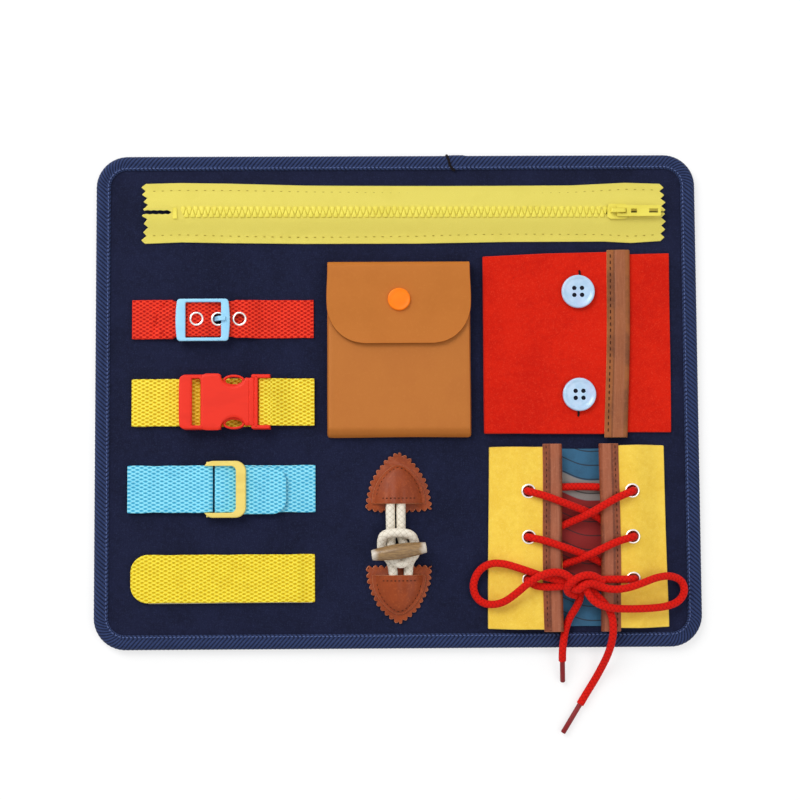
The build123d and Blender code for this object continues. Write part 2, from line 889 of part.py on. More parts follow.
with BuildPart() as tab_anchor:
    strap(
        [
            (strap_right, face_z + tab_web / 2),
            (tab_hinge_x + tab_step_end + tab_step, face_z + tab_web / 2),
            (tab_hinge_x + tab_step_end, tab_low + tab_web / 2),
            (tab_hinge_x, tab_low + tab_web / 2),
        ],
        tab_web,
        tab_y,
        tab_width,
        tab_web * 0.6,
    )
save(tab_anchor, "tab_anchor")

tab_tape_left = strap_left + tab_tape_margin * 2
tab_pad_low = (tab_tape_left, tab_y - tab_half + tab_tape_margin)
tab_pad_high = (tab_tape_left + tab_tape_length, tab_y + tab_half - tab_tape_margin)
with BuildPart() as tab_hook_tape:
    block((*tab_pad_low, tab_low - hook_tape), (*tab_pad_high, tab_low))
save(tab_hook_tape, "tab_hook_tape")

with BuildPart() as loop_pads:
    block((*tab_pad_low, face_z), (*tab_pad_high, face_z + hook_tape))
    slide_top = face_z + slide_web
    block((*slide_pad_low, slide_top), (*slide_pad_high, slide_top + hook_tape))
save(loop_pads, "loop_pads")


# ================================================================ pouch
pouch_back_top = face_z + leather
pouch_front_low = pouch_back_top + pouch_depth
pouch_front_top = pouch_front_low + leather
pouch_flap_low = pouch_front_top + running_gap
pouch_flap_top = pouch_flap_low + leather
pouch_middle_x = (pouch_left + pouch_right) / 2
with BuildPart() as pouch_back:
    block((pouch_left, pouch_bottom, face_z), (pouch_right, pouch_top, pouch_back_top))
    block(
        (pouch_left, pouch_top - leather, pouch_back_top), (pouch_right, pouch_top, pouch_flap_low - running_gap / 3)
    )
save(pouch_back, "pouch_back")

front_top_y = pouch_top - leather - pouch_mouth
with BuildPart() as pouch_front:
    block((pouch_left, pouch_bottom, pouch_back_top), (pouch_right, front_top_y, pouch_front_top))
    block(
        (pouch_left + leather, pouch_bottom + leather, pouch_back_top),
        (pouch_right - leather, front_top_y, pouch_front_low),
        Mode.SUBTRACT,
    )
    bore(pouch_middle_x, snap_y, snap_post, pouch_front_low, pouch_front_top)
save(pouch_front, "pouch_front")

with BuildPart() as pouch_flap:
    with BuildSketch(Plane.XY.offset(pouch_flap_low)):
        with BuildLine():
            Polyline(
                (pouch_left, flap_bottom + flap_corner),
                (pouch_left, pouch_top),
                (pouch_right, pouch_top),
                (pouch_right, flap_bottom + flap_corner),
            )
            arc_inset = flap_corner * 1.05
            TangentArc(
                (pouch_right, flap_bottom + flap_corner), (pouch_right - arc_inset, flap_bottom), tangent=(0, -1)
            )
            Line((pouch_right - arc_inset, flap_bottom), (pouch_left + arc_inset, flap_bottom))
            TangentArc(
                (pouch_left, flap_bottom + flap_corner), (pouch_left + arc_inset, flap_bottom), tangent=(0, -1)
            )
        make_face()
    extrude(amount=leather)
    bore(pouch_middle_x, snap_y, snap_ring + seat_gap, pouch_flap_low, pouch_flap_top)
save(pouch_flap, "pouch_flap")

with BuildPart() as snap_cap_piece:
    with Locations((pouch_middle_x, snap_y, pouch_flap_top + snap_cap_height / 2)):
        Cylinder(snap_cap / 2, snap_cap_height)
    fillet(snap_cap_piece.faces().sort_by(Axis.Z)[-1].edges(), snap_cap_height * 0.6)
save(snap_cap_piece, "snap_cap")

with BuildPart() as snap_socket:
    ring(
        pouch_middle_x,
        snap_y,
        snap_ring,
        snap_post + 2 * running_gap,
        pouch_front_top + snap_flange + seat_gap,
        pouch_flap_top,
    )
save(snap_socket, "snap_socket")

with BuildPart() as snap_stud:
    with Locations((pouch_middle_x, snap_y, pouch_front_top + snap_flange / 2)):
        Cylinder(snap_ring / 2, snap_flange)
    with Locations((pouch_middle_x, snap_y, (pouch_front_low + pouch_flap_top - seat_gap) / 2)):
        Cylinder(snap_post / 2, pouch_flap_top - seat_gap - pouch_front_low)
save(snap_stud, "snap_stud")


# ================================================================ buttoned panel
under_top = face_z + felt
red_flap_low = under_top + running_gap
red_flap_top = red_flap_low + felt
button_low = red_flap_top + 2 * running_gap
holes_y = (button_upper_y + slit_shift, button_lower_y - slit_shift)
with BuildPart() as red_under_panel:
    block((panel_left, panel_bottom, face_z), (panel_right, panel_top, under_top))
save(red_under_panel, "red_under_panel")

with BuildPart() as red_flap:
    block((panel_left, panel_bottom, red_flap_low), (red_flap_right, panel_top, red_flap_top))
    for y in holes_y:
        bore(button_x, y, buttonhole, red_flap_low, red_flap_top)
save(red_flap, "red_flap")

with BuildPart() as buttonhole_lips:
    for y in holes_y:
        with Locations((button_x, y, red_flap_low + felt / 2)):
            Cylinder(buttonhole / 2, felt)
            Box(slit_width, slit_length, felt, mode=Mode.SUBTRACT)
save(buttonhole_lips, "buttonhole_lips")

with BuildPart() as red_flap_trim:
    block(
        (red_trim_left, panel_bottom - red_trim_overhang, red_flap_top),
        (red_trim_right, panel_top + red_trim_overhang, red_flap_top + trim_leather),
    )
    block(
        (red_flap_right, panel_bottom - red_trim_overhang, red_flap_low),
        (red_trim_right, panel_top + red_trim_overhang, red_flap_top),
    )
save(red_flap_trim, "red_flap_trim")


def button_disc(y):
    """A four-hole button with a raised rim round a shallow dish."""
    hole_offset = button_hole_offset
    with BuildPart() as disc:
        with Locations((button_x, y, button_low + button_thickness / 2)):
            Cylinder(button_diameter / 2, button_thickness)
        fillet(disc.faces().sort_by(Axis.Z)[-1].edges(), button_rim * 0.4)
        fillet(disc.faces().sort_by(Axis.Z)[0].edges(), button_rim * 0.3)
        with Locations((button_x, y, button_low + button_thickness - button_dish / 2)):
            Cylinder(button_diameter / 2 - button_rim, button_dish, mode=Mode.SUBTRACT)
        with Locations((button_x, y, button_low + button_thickness / 2)):
            with GridLocations(2 * hole_offset, 2 * hole_offset, 2, 2):
                Cylinder(button_hole / 2, button_thickness, mode=Mode.SUBTRACT)
    return disc


for y, word in ((button_upper_y, "upper"), (button_lower_y, "lower")):
    save(button_disc(y), f"button_{word}")


def shank_and_stitches(y):
    """The sewing thread of one button: the shank under it, four passes through it and two stitches on top."""
    dish_z = button_low + button_thickness - button_dish
    with BuildPart() as stitches:
        with Locations((button_x, y, (under_top + seat_gap + button_low) / 2)):
            Cylinder(shank / 2, button_low - under_top - seat_gap)
        with Locations((button_x, y, button_low - thread / 4)):
            Box(2 * button_hole_offset + thread, 2 * button_hole_offset + thread, thread / 2)
        with Locations((button_x, y, (button_low + dish_z) / 2)):
            with GridLocations(2 * button_hole_offset, 2 * button_hole_offset, 2, 2):
                Cylinder(thread / 2, dish_z - button_low)
        for side in (-1, 1):
            with Locations((button_x + side * button_hole_offset, y, dish_z + thread / 4)):
                Box(thread, 2 * button_hole_offset + thread, thread / 2)
    return stitches


for y, word in ((button_upper_y, "upper"), (button_lower_y, "lower")):
    save(shank_and_stitches(y), f"button_thread_{word}")


# ================================================================ toggle frog
base_top = face_z + leather
pocket_top = base_top + facing_pocket
facing_top = pocket_top + leather


def patch_outline(inset, base_y, direction, pinks):
    """Points round an arched patch: a straight base and two bowed sides, zigzagged where pinks is above 0."""
    half = patch_half - inset
    length = patch_length - inset - inset / 2
    base = base_y + direction * inset / 2
    points = []
    steps = max(2 * pinks, 24)
    for index in range(steps + 1):
        share = -1 + 2 * index / steps
        bow = 1 - abs(share) ** patch_power
        zigzag = patch_pink_depth / 2 * (-1) ** index if pinks else 0
        x = toggle_x + half * math.sin(share * math.pi / 2) * (1 + zigzag / half)
        points.append((x, base + direction * (length * bow + zigzag)))
    if pinks:
        pinks_on_base = round(2 * half / (patch_pink_depth * 2))
        for index in range(1, 2 * pinks_on_base):
            x = toggle_x + half - index * half / pinks_on_base
            points.append((x, base - direction * patch_pink_depth / 2 * (index % 2)))
    return points


patches = ((patch_upper_base, 1, "upper"), (patch_lower_base, -1, "lower"))
for base_y, direction, word in patches:
    with BuildPart() as toggle_patch:
        plate(patch_outline(0, base_y, direction, patch_pinks), face_z, base_top)
    save(toggle_patch, f"toggle_patch_{word}")

with BuildPart() as toggle_patch_facings:
    for base_y, direction, word in patches:
        plate(patch_outline(facing_inset, base_y, direction, 0), base_top, facing_top)
    top_edges = toggle_patch_facings.faces().filter_by(Axis.Z).group_by(Axis.Z)[-1].edges()
    chamfer(top_edges, leather)
    pocket_half = cord_spacing / 2 + cord / 2 + running_gap
    for base_y, direction, word in patches:
        low_y, high_y = sorted((base_y - direction * cord, base_y + direction * patch_length / 2))
        low = (toggle_x - cord_spacing / 4 - pocket_half, low_y, base_top)
        high = (toggle_x + cord_spacing / 4 + pocket_half, high_y, pocket_top)
        block(low, high, Mode.SUBTRACT)
save(toggle_patch_facings, "toggle_patch_facings")

upper_cord_route = [
    (-4.0, -50.0, 8.4),
    (-3.9, -58.0, 8.4),
    (-4.2, -66.0, 8.4),
    (-8.4, -72.6, 8.6),
    (-9.0, -80.0, 9.0),
    (-4.8, -86.8, 12.9),
    (5.0, -86.8, 12.9),
    (9.2, -80.0, 9.0),
    (8.6, -72.6, 8.6),
    (2.4, -66.0, 8.4),
    (1.9, -58.0, 8.4),
    (1.9, -50.0, 8.4),
]
lower_cord_routes = [
    [(-2.6, -99.0, 8.4), (-2.6, -92.0, 8.4), (-1.8, -86.0, 8.4), (-0.4, -80.2, 8.4)],
    [(4.4, -99.0, 8.4), (4.4, -92.0, 8.4), (3.2, -86.0, 8.4), (1.2, -80.2, 8.4)],
]
with BuildPart() as toggle_cord_upper:
    add(tube(upper_cord_route, cord, "toggle_cord_upper"))
save(toggle_cord_upper, "toggle_cord_upper")

with BuildPart() as toggle_cord_lower:
    for route in lower_cord_routes:
        add(tube(route, cord, "toggle_cord_lower"))
    with Locations((toggle_x, toggle_y, (face_z + seat_gap + toggle_z) / 2)):
        Cylinder(cord / 2, toggle_z - face_z - seat_gap)
save(toggle_cord_lower, "toggle_cord_lower")

with BuildPart() as toggle_bar:
    axis = Plane(
        origin=(toggle_x, toggle_y, toggle_z),
        x_dir=(math.cos(math.radians(toggle_tilt)), math.sin(math.radians(toggle_tilt)), 0),
        z_dir=(0, 0, 1),
    )
    with BuildSketch(axis):
        with BuildLine():
            half = toggle_length / 2
            Polyline((half, 0), (-half, 0), (-half, toggle_end / 2))
            ThreePointArc((-half, toggle_end / 2), (0, toggle_middle / 2), (half, toggle_end / 2))
            Line((half, toggle_end / 2), (half, 0))
        make_face()
    revolve(axis=Axis(axis.origin, axis.x_dir))
    hole_top = toggle_z + running_gap
    bore(toggle_x, toggle_y, cord + 2 * running_gap, toggle_z - toggle_middle, hole_top)
save(toggle_bar, "toggle_bar")


# ================================================================ lacing
picture_top = face_z + picture
lacing_low = face_z + felt / 2
lacing_high = lacing_low + lacing_lift
lacing_top_z = lacing_high + felt / 2
lacing_under_z = lacing_high - felt / 2
trim_top_z = lacing_top_z + trim_leather
lacing_middle_y = (lacing_top + lacing_bottom) / 2
lacing_length = lacing_top - lacing_bottom

with BuildPart() as lacing_picture:
    block(
        (lacing_inner_left - picture_overlap, lacing_bottom, face_z),
        (lacing_inner_right + picture_overlap, lacing_top, picture_top),
    )
save(lacing_picture, "lacing_picture")

lacing_sides = (
    ("left", lacing_outer_left, lacing_inner_left, 1, eyelet_left_x),
    ("right", lacing_outer_right, lacing_inner_right, -1, eyelet_right_x),
)
lace_bore = lace_eyelet_hole + 2 * eyelet_wall
for word, outer_x, inner_x, inward, eyelet_x in lacing_sides:
    with BuildPart() as lacing_panel:
        strap(
            [
                (outer_x, lacing_low),
                (outer_x + inward * lacing_sewn, lacing_low),
                (outer_x + inward * (lacing_sewn + lacing_ramp), lacing_high),
                (inner_x, lacing_high),
            ],
            felt,
            lacing_middle_y,
            lacing_length,
            felt,
        )
        for y in eyelet_rows:
            bore(eyelet_x, y, lace_bore, lacing_under_z, lacing_top_z)
    save(lacing_panel, f"lacing_panel_{word}")

with BuildPart() as lacing_trims:
    for word, outer_x, inner_x, inward, eyelet_x in lacing_sides:
        low_x, high_x = sorted((inner_x, inner_x - inward * lacing_trim_width))
        block((low_x, lacing_bottom - felt, lacing_top_z), (high_x, lacing_top + felt, trim_top_z))
save(lacing_trims, "lacing_trims")

with BuildPart() as lacing_eyelets:
    for word, outer_x, inner_x, inward, eyelet_x in lacing_sides:
        for y in eyelet_rows:
            ring(eyelet_x, y, lace_bore, lace_eyelet_hole, lacing_under_z, lacing_top_z)
            ring(eyelet_x, y, lace_eyelet_outer, lace_eyelet_hole, lacing_top_z, lacing_top_z + eyelet_flange)
            ring(
                eyelet_x, y, lace_eyelet_outer, lace_eyelet_hole, lacing_under_z - eyelet_flange, lacing_under_z
            )
save(lacing_eyelets, "lacing_eyelets")

# The lace's own points: chosen by hand, from the left end's last eyelet to the right end's.
crossings_route = [
    (88.5, -96.2, 15.4),
    (80.5, -96.9, 15.0),
    (74.0, -96.6, 14.8),
    (67.8, -95.2, 14.4),
    (67.8, -95.0, 7.6),
    (74.5, -92.2, 7.7),
    (82.0, -89.0, 7.8),
    (91.0, -86.0, 8.3),
    (99.0, -82.8, 13.4),
    (106.5, -78.9, 15.0),
    (115.0, -75.0, 14.9),
    (123.5, -72.9, 14.4),
    (123.5, -72.7, 7.6),
    (116.5, -69.6, 7.7),
    (109.0, -65.4, 7.7),
    (101.0, -60.2, 8.6),
    (93.5, -57.6, 12.6),
    (85.5, -54.6, 15.0),
    (77.0, -51.4, 14.9),
    (67.8, -48.9, 14.4),
    (67.8, -48.7, 7.6),
    (81.0, -47.0, 7.6),
    (95.6, -46.4, 7.6),
    (110.2, -47.0, 7.6),
    (123.5, -48.7, 7.6),
    (123.5, -48.9, 14.4),
    (115.0, -52.2, 14.9),
    (106.5, -57.0, 15.0),
    (99.0, -61.4, 13.2),
    (91.0, -65.0, 8.3),
    (82.0, -68.9, 7.7),
    (74.5, -71.6, 7.7),
    (67.8, -72.7, 7.6),
    (67.8, -72.9, 14.4),
    (76.5, -74.6, 14.9),
    (85.0, -77.7, 15.0),
    (93.5, -80.6, 12.6),
    (101.0, -83.6, 8.6),
    (109.0, -87.6, 7.7),
    (116.5, -92.0, 7.7),
    (123.5, -94.8, 7.6),
    (123.5, -95.0, 14.4),
    (116.5, -93.0, 14.8),
    (108.5, -91.9, 15.0),
    (100.5, -92.0, 15.4),
]
left_loop_route = [
    (89.5, -92.6, 15.6),
    (84.0, -91.1, 15.2),
    (77.5, -90.7, 15.0),
    (70.5, -90.2, 14.6),
    (63.3, -88.2, 14.5),
    (55.6, -86.4, 13.4),
    (48.5, -86.2, 10.2),
    (42.6, -89.6, 7.9),
    (39.2, -96.0, 7.4),
    (39.6, -102.6, 7.4),
    (43.6, -107.2, 7.9),
    (49.6, -108.2, 10.4),
    (55.6, -106.2, 14.2),
    (61.4, -102.4, 17.6),
    (66.8, -98.6, 19.4),
    (72.6, -95.2, 19.9),
    (79.0, -93.2, 20.0),
    (84.5, -93.2, 19.7),
    (90.0, -94.2, 19.0),
]
right_loop_route = [
    (99.2, -94.8, 18.6),
    (106.0, -94.6, 19.1),
    (114.5, -94.9, 19.3),
    (124.0, -95.3, 19.3),
    (133.5, -94.2, 16.8),
    (142.0, -93.2, 11.6),
    (148.6, -95.8, 8.6),
    (150.4, -101.6, 8.3),
    (147.0, -107.0, 9.2),
    (140.0, -109.4, 12.0),
    (130.5, -110.2, 14.4),
    (121.0, -109.8, 15.8),
    (112.5, -108.0, 18.4),
    (105.5, -104.6, 19.6),
    (99.4, -98.8, 19.2),
]
left_tail_route = [
    (95.2, -98.6, 14.0),
    (94.6, -103.6, 11.4),
    (91.8, -108.8, 8.6),
    (88.8, -114.6, 7.9),
    (87.4, -121.0, 8.2),
    (86.0, -127.4, 9.2),
    (85.4, -133.2, 8.6),
    (85.6, -137.4, 6.8),
]
right_tail_route = [
    (99.6, -98.6, 14.4),
    (104.4, -103.0, 14.9),
    (108.2, -108.6, 15.0),
    (110.6, -115.0, 15.2),
    (111.9, -121.6, 15.2),
    (111.8, -127.8, 12.4),
    (110.2, -134.0, 9.4),
    (107.2, -140.2, 5.0),
    (103.4, -147.2, 2.5),
    (99.2, -153.8, 2.2),
    (95.0, -160.6, 2.2),
]
knot_middle = (94.5, -95.4, 16.4)
knot_size = (15.4, 13.6, 12.4)
left_aglet_length = 12.4
right_aglet_length = 17.4


def lace_piece(routes, name):
    """Stretches of the lace, cut back to the knot's surface."""
    with BuildPart() as stretch:
        for index, route in enumerate(routes):
            add(tube(route, lace, f"{name} {index}"))
        add(knot_solid, mode=Mode.SUBTRACT)
    return stretch


def ellipsoid(middle, size):
    """A solid ellipsoid, revolved in profile and stretched to its three sizes."""
    with BuildPart() as ball:
        with BuildSketch(Plane.XZ):
            with BuildLine():
                ThreePointArc((0, -0.5), (0.5, 0), (0, 0.5))
                Line((0, 0.5), (0, -0.5))
            make_face()
        revolve(axis=Axis.Z)
        scale(by=size)
    return ball.part.moved(Location(middle))


knot_solid = ellipsoid(knot_middle, knot_size)
save(lace_piece([crossings_route], "lace_crossings"), "lace_crossings")

with BuildPart() as lace_bow:
    add(lace_piece([left_loop_route, right_loop_route], "lace_bow").part)
    add(knot_solid)
save(lace_bow, "lace_bow")
save(lace_piece([left_tail_route, right_tail_route], "lace_tails"), "lace_tails")

with BuildPart() as lace_aglets:
    for route, aglet_length in ((left_tail_route, left_aglet_length), (right_tail_route, right_aglet_length)):
        tail_end = Vector(*route[-1])
        with BuildSketch(Plane(origin=tail_end, z_dir=tail_end - Vector(*route[-2]))):
            Circle(aglet / 2)
        extrude(amount=aglet_length)
save(lace_aglets, "lace_aglets")
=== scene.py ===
"""Fabric activity board: the looks of every piece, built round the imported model.

All shapes are worked out in millimetres in the board's own frame and put into meshes in metres.
"""

import logging
import math
from collections.abc import Callable, Sequence
from dataclasses import dataclass
from enum import Enum
from functools import cache

import bpy
import numpy as np
from mathutils import Matrix, Vector


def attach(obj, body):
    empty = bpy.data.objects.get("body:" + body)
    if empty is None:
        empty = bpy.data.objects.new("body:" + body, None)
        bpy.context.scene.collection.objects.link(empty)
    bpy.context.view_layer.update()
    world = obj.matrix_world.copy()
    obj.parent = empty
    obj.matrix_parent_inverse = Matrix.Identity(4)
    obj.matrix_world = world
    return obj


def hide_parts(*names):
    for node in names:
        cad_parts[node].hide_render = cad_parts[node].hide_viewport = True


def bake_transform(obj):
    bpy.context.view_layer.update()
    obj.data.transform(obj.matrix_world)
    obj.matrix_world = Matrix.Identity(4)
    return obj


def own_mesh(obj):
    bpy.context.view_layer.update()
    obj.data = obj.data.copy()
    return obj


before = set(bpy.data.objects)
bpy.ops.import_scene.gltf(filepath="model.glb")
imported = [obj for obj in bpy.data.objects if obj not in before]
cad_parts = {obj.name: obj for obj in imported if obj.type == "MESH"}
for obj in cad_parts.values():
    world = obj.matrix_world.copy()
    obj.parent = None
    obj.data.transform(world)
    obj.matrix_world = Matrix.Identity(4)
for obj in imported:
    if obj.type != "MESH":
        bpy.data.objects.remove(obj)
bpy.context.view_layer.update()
log = logging.getLogger("activity_board")

MM = 0.001
Array = np.ndarray
Colour = tuple[float, float, float]


def rgb(red: int, green: int, blue: int) -> Colour:
    """A screen colour, 0 to 255, as the linear colour that a shader takes."""
    shares = [value / 255 for value in (red, green, blue)]
    return tuple(v / 12.92 if v <= 0.04045 else ((v + 0.055) / 1.055) ** 2.4 for v in shares)


# ------------------------------------------------------------------ shader arithmetic
class Socket:
    """One output of a shader node; arithmetic on it adds Math nodes."""

    def __init__(self, shader: "Shader", output: bpy.types.NodeSocket) -> None:
        """Remembers the shader and the output that this value comes from."""
        self.shader, self.output = shader, output

    def math(self, operation: str, *values: "Socket | float") -> "Socket":
        """One Math node on these values."""
        return self.shader.node("ShaderNodeMath", {"operation": operation}, dict(enumerate(values)))

    def __add__(self, other: "Socket | float") -> "Socket":
        """Sum."""
        return self.math("ADD", self, other)

    def __mul__(self, other: "Socket | float") -> "Socket":
        """Product."""
        return self.math("MULTIPLY", self, other)

    def __sub__(self, other: "Socket | float") -> "Socket":
        """Difference."""
        return self.math("SUBTRACT", self, other)

    def __rsub__(self, other: float) -> "Socket":
        """Difference from a number."""
        return self.math("SUBTRACT", other, self)

    def __truediv__(self, other: "Socket | float") -> "Socket":
        """Quotient."""
        return self.math("DIVIDE", self, other)

    def __pow__(self, other: float) -> "Socket":
        """Power."""
        return self.math("POWER", self, other)

    __radd__, __rmul__ = __add__, __mul__

    def sin(self) -> "Socket":
        """Sine of an angle in radians."""
        return self.math("SINE", self)

    def cos(self) -> "Socket":
        """Cosine of an angle in radians."""
        return self.math("COSINE", self)

    def size(self) -> "Socket":
        """Value without its sign."""
        return self.math("ABSOLUTE", self)

    def fraction(self) -> "Socket":
        """Part after the whole number."""
        return self.math("FRACT", self)

    def most(self, other: "Socket | float") -> "Socket":
        """Larger of two values."""
        return self.math("MAXIMUM", self, other)

    def step(self, low: float, high: float) -> "Socket":
        """Smooth step from 0 at low to 1 at high."""
        return self.shader.node(
            "ShaderNodeMapRange", {"interpolation_type": "SMOOTHSTEP"}, {0: self, 1: low, 2: high, 3: 0.0, 4: 1.0}
        )


class Shader:
    """A node material under construction, with one principled surface."""

    def __init__(self, name: str) -> None:
        """Starts an empty material of this name."""
        self.material = bpy.data.materials.new(name)
        self.material.use_nodes = True
        self.tree = self.material.node_tree
        self.tree.nodes.clear()
        self.surface = self.tree.nodes.new("ShaderNodeBsdfPrincipled")
        ending = self.tree.nodes.new("ShaderNodeOutputMaterial")
        self.tree.links.new(self.surface.outputs[0], ending.inputs[0])

    def node(self, kind: str, settings: dict, inputs: dict, output: int | str = 0) -> Socket:
        """Adds a node.

        Args:
            kind: the node's type.
            settings: its options, set first; "stops" are a colour ramp's (place, colour) pairs.
            inputs: values or sockets by input name or number.
            output: which output to return.

        Returns:
            The chosen output.
        """
        made = self.tree.nodes.new(kind)
        for name, value in settings.items():
            if name == "stops":
                ramp = made.color_ramp
                while len(ramp.elements) < len(value):
                    ramp.elements.new(0.5)
                for element, (place, colour) in zip(ramp.elements, value):
                    element.position, element.color = place, (*colour, 1.0)
            else:
                setattr(made, name, value)
        for key, value in inputs.items():
            self.feed(made.inputs[key], value)
        return Socket(self, made.outputs[output])

    def feed(self, target: bpy.types.NodeSocket, value: "Socket | float | Sequence[float]") -> None:
        """Links a socket to an input, or sets a plain value on it."""
        if isinstance(value, Socket):
            self.tree.links.new(value.output, target)
        elif isinstance(value, (tuple, list)) and len(value) == 3 and target.type == "RGBA":
            target.default_value = (*value, 1.0)
        else:
            target.default_value = value

    def place(self) -> Socket:
        """Position on the piece in millimetres."""
        source = self.node("ShaderNodeTexCoord", {}, {}, "Object")
        return self.node("ShaderNodeVectorMath", {"operation": "SCALE"}, {0: source, "Scale": 1 / MM})

    def stretched(self, place: Socket, scale: Sequence[float]) -> Socket:
        """Position with each axis scaled, for a pattern longer one way."""
        return self.node("ShaderNodeVectorMath", {"operation": "MULTIPLY"}, {0: place, 1: tuple(scale)})

    def parts(self, vector: Socket) -> tuple[Socket, Socket, Socket]:
        """The three numbers of a vector."""
        made = self.node("ShaderNodeSeparateXYZ", {}, {0: vector})
        outputs = made.output.node.outputs
        return tuple(Socket(self, outputs[index]) for index in range(3))

    def strip(self) -> tuple[Socket, Socket]:
        """Length along and width across a strip, in millimetres, from the piece's own map."""
        along, across, _ = self.parts(self.node("ShaderNodeUVMap", {"uv_map": "strip"}, {}))
        return along, across

    def rim(self) -> Socket:
        """1 on a cut edge and 0 elsewhere."""
        return self.node("ShaderNodeAttribute", {"attribute_name": "rim"}, {}, "Fac")

    def noise(self, place: Socket, scale: float, detail: float = 2.0, rough: float = 0.5) -> Socket:
        """Cloudy noise with features of 1 / scale millimetres, about 0.5 on average."""
        return self.node("ShaderNodeTexNoise", {},
                         {"Vector": place, "Scale": scale, "Detail": detail, "Roughness": rough})

    def cells(self, place: Socket, scale: float) -> Socket:
        """Distance to the nearest of scattered points, with cells of 1 / scale millimetres."""
        return self.node("ShaderNodeTexVoronoi", {}, {"Vector": place, "Scale": scale})

    def blend(self, share: "Socket | float", low: "Socket | Colour", high: "Socket | Colour") -> Socket:
        """Colour between two colours."""
        return self.node("ShaderNodeMix", {"data_type": "RGBA"}, {0: share, 6: low, 7: high}, 2)

    def bump(self, height: Socket, depth: float, base: Socket | None = None) -> Socket:
        """Normal of a surface raised by height, depth millimetres from 0 to 1, over a base normal."""
        inputs = {"Height": height, "Distance": depth * MM}
        if base is not None:
            inputs["Normal"] = base
        return self.node("ShaderNodeBump", {}, inputs)

    def finish(self, **values: "Socket | float | Colour") -> bpy.types.Material:
        """Sets the surface's sockets, named with underscores for spaces, and returns the material."""
        for name, value in values.items():
            self.feed(self.surface.inputs[name.replace("_", " ").title().replace("Ior", "IOR")], value)
        return self.material


# ------------------------------------------------------------------ finishes
@dataclass(frozen=True)
class Felt:
    """Pressed or brushed cloth: mottled colour and a fine tangle of fibres, with a painted highlight on its cut edges.
    """

    name: str
    base: Colour
    deep: Colour
    # pale: paler fibres and threads, and the painted highlight on cut edges
    pale: Colour
    mottle: float = 0.6
    nap: float = 0.16
    weft: float = 0.0
    fuzz: float = 0.35

    def build(self) -> bpy.types.Material:
        """The finish as a material."""
        shade = Shader(self.name)
        place = shade.place()
        cloud = shade.noise(place, 0.045, 3.0)
        patch = shade.noise(place, 0.35, 4.0, 0.6)
        fibre = shade.noise(place, 1.5, 5.0, 0.7)
        across = shade.noise(shade.stretched(place, (0.25, 3.2, 1.0)), 0.9, 3.0, 0.6)
        upright = shade.noise(shade.stretched(place, (3.2, 0.25, 1.0)), 0.9, 3.0, 0.6)
        threads = (across + upright) * 0.5
        tone = shade.blend((cloud * 0.55 + patch * 0.45).step(0.36, 0.66) * self.mottle, self.base, self.deep)
        tone = shade.blend(fibre.step(0.5, 0.72) * (self.fuzz + 0.3 * self.weft), tone, self.pale)
        tone = shade.blend(threads.step(0.54, 0.72) * self.weft, tone, self.pale)
        # painted highlight: cut edges made paler
        tone = shade.blend(shade.rim() * 0.35, tone, self.pale)
        raised = shade.bump(fibre * 0.7 + threads * (0.3 + self.weft), self.nap)
        return shade.finish(
            base_color=tone, roughness=0.96 - 0.1 * fibre, normal=raised, sheen_weight=0.03, specular_ior_level=0.12
        )


@dataclass(frozen=True)
class Webbing:
    """Narrow woven strap: rows of staggered gaps between plump threads, with painted shade in the gaps and a painted
    highlight on the thread crowns.
    """

    name: str
    thread: Colour
    # gap: painted shade colour of the gaps between threads
    gap: Colour
    # light: painted highlight colour of the thread crowns
    light: Colour
    pitch: float = 4.1
    rows: float = 2.05
    gap_shade_share: float = 0.85

    def build(self) -> bpy.types.Material:
        """The finish as a material."""
        shade = Shader(self.name)
        along, across = shade.strip()
        place = shade.place()
        turn_u, turn_v = along * (math.pi / self.pitch), across * (math.pi / self.rows)
        stray = shade.noise(place, 0.35, 2.0) - 0.5
        turn_u, turn_v = turn_u + stray * 0.5, turn_v + stray * 0.4
        gaps = (turn_u.cos() * turn_v.cos()).size().most((turn_u.sin() * turn_v.sin()).size())
        fine = shade.noise(place, 2.2, 4.0, 0.7)
        twist = ((along * 1.5 + across * 0.9) * math.pi).sin() * 0.5 + 0.5
        cloud = shade.noise(place, 0.12, 2.0)
        shaded_gaps = gaps.step(0.66, 1.0)
        lit_crowns = 1.0 - gaps.step(0.5, 0.72)
        # painted highlight on the thread crowns, with random paler flecks
        tone = shade.blend(lit_crowns * 0.7 + fine.step(0.4, 0.7) * 0.2, self.thread, self.light)
        # painted shade in the gaps between threads
        tone = shade.blend(shaded_gaps * self.gap_shade_share, tone, self.gap)
        # random darker clouds, in the gaps' shade colour
        tone = shade.blend(cloud.step(0.45, 0.7) * 0.15, tone, self.gap)
        raised = shade.bump(lit_crowns * 0.5 + twist * 0.25 + fine * 0.4 - shaded_gaps * 0.8, 0.2)
        return shade.finish(
            base_color=tone, roughness=0.86 - 0.12 * twist, normal=raised, sheen_weight=0.03, specular_ior_level=0.2
        )


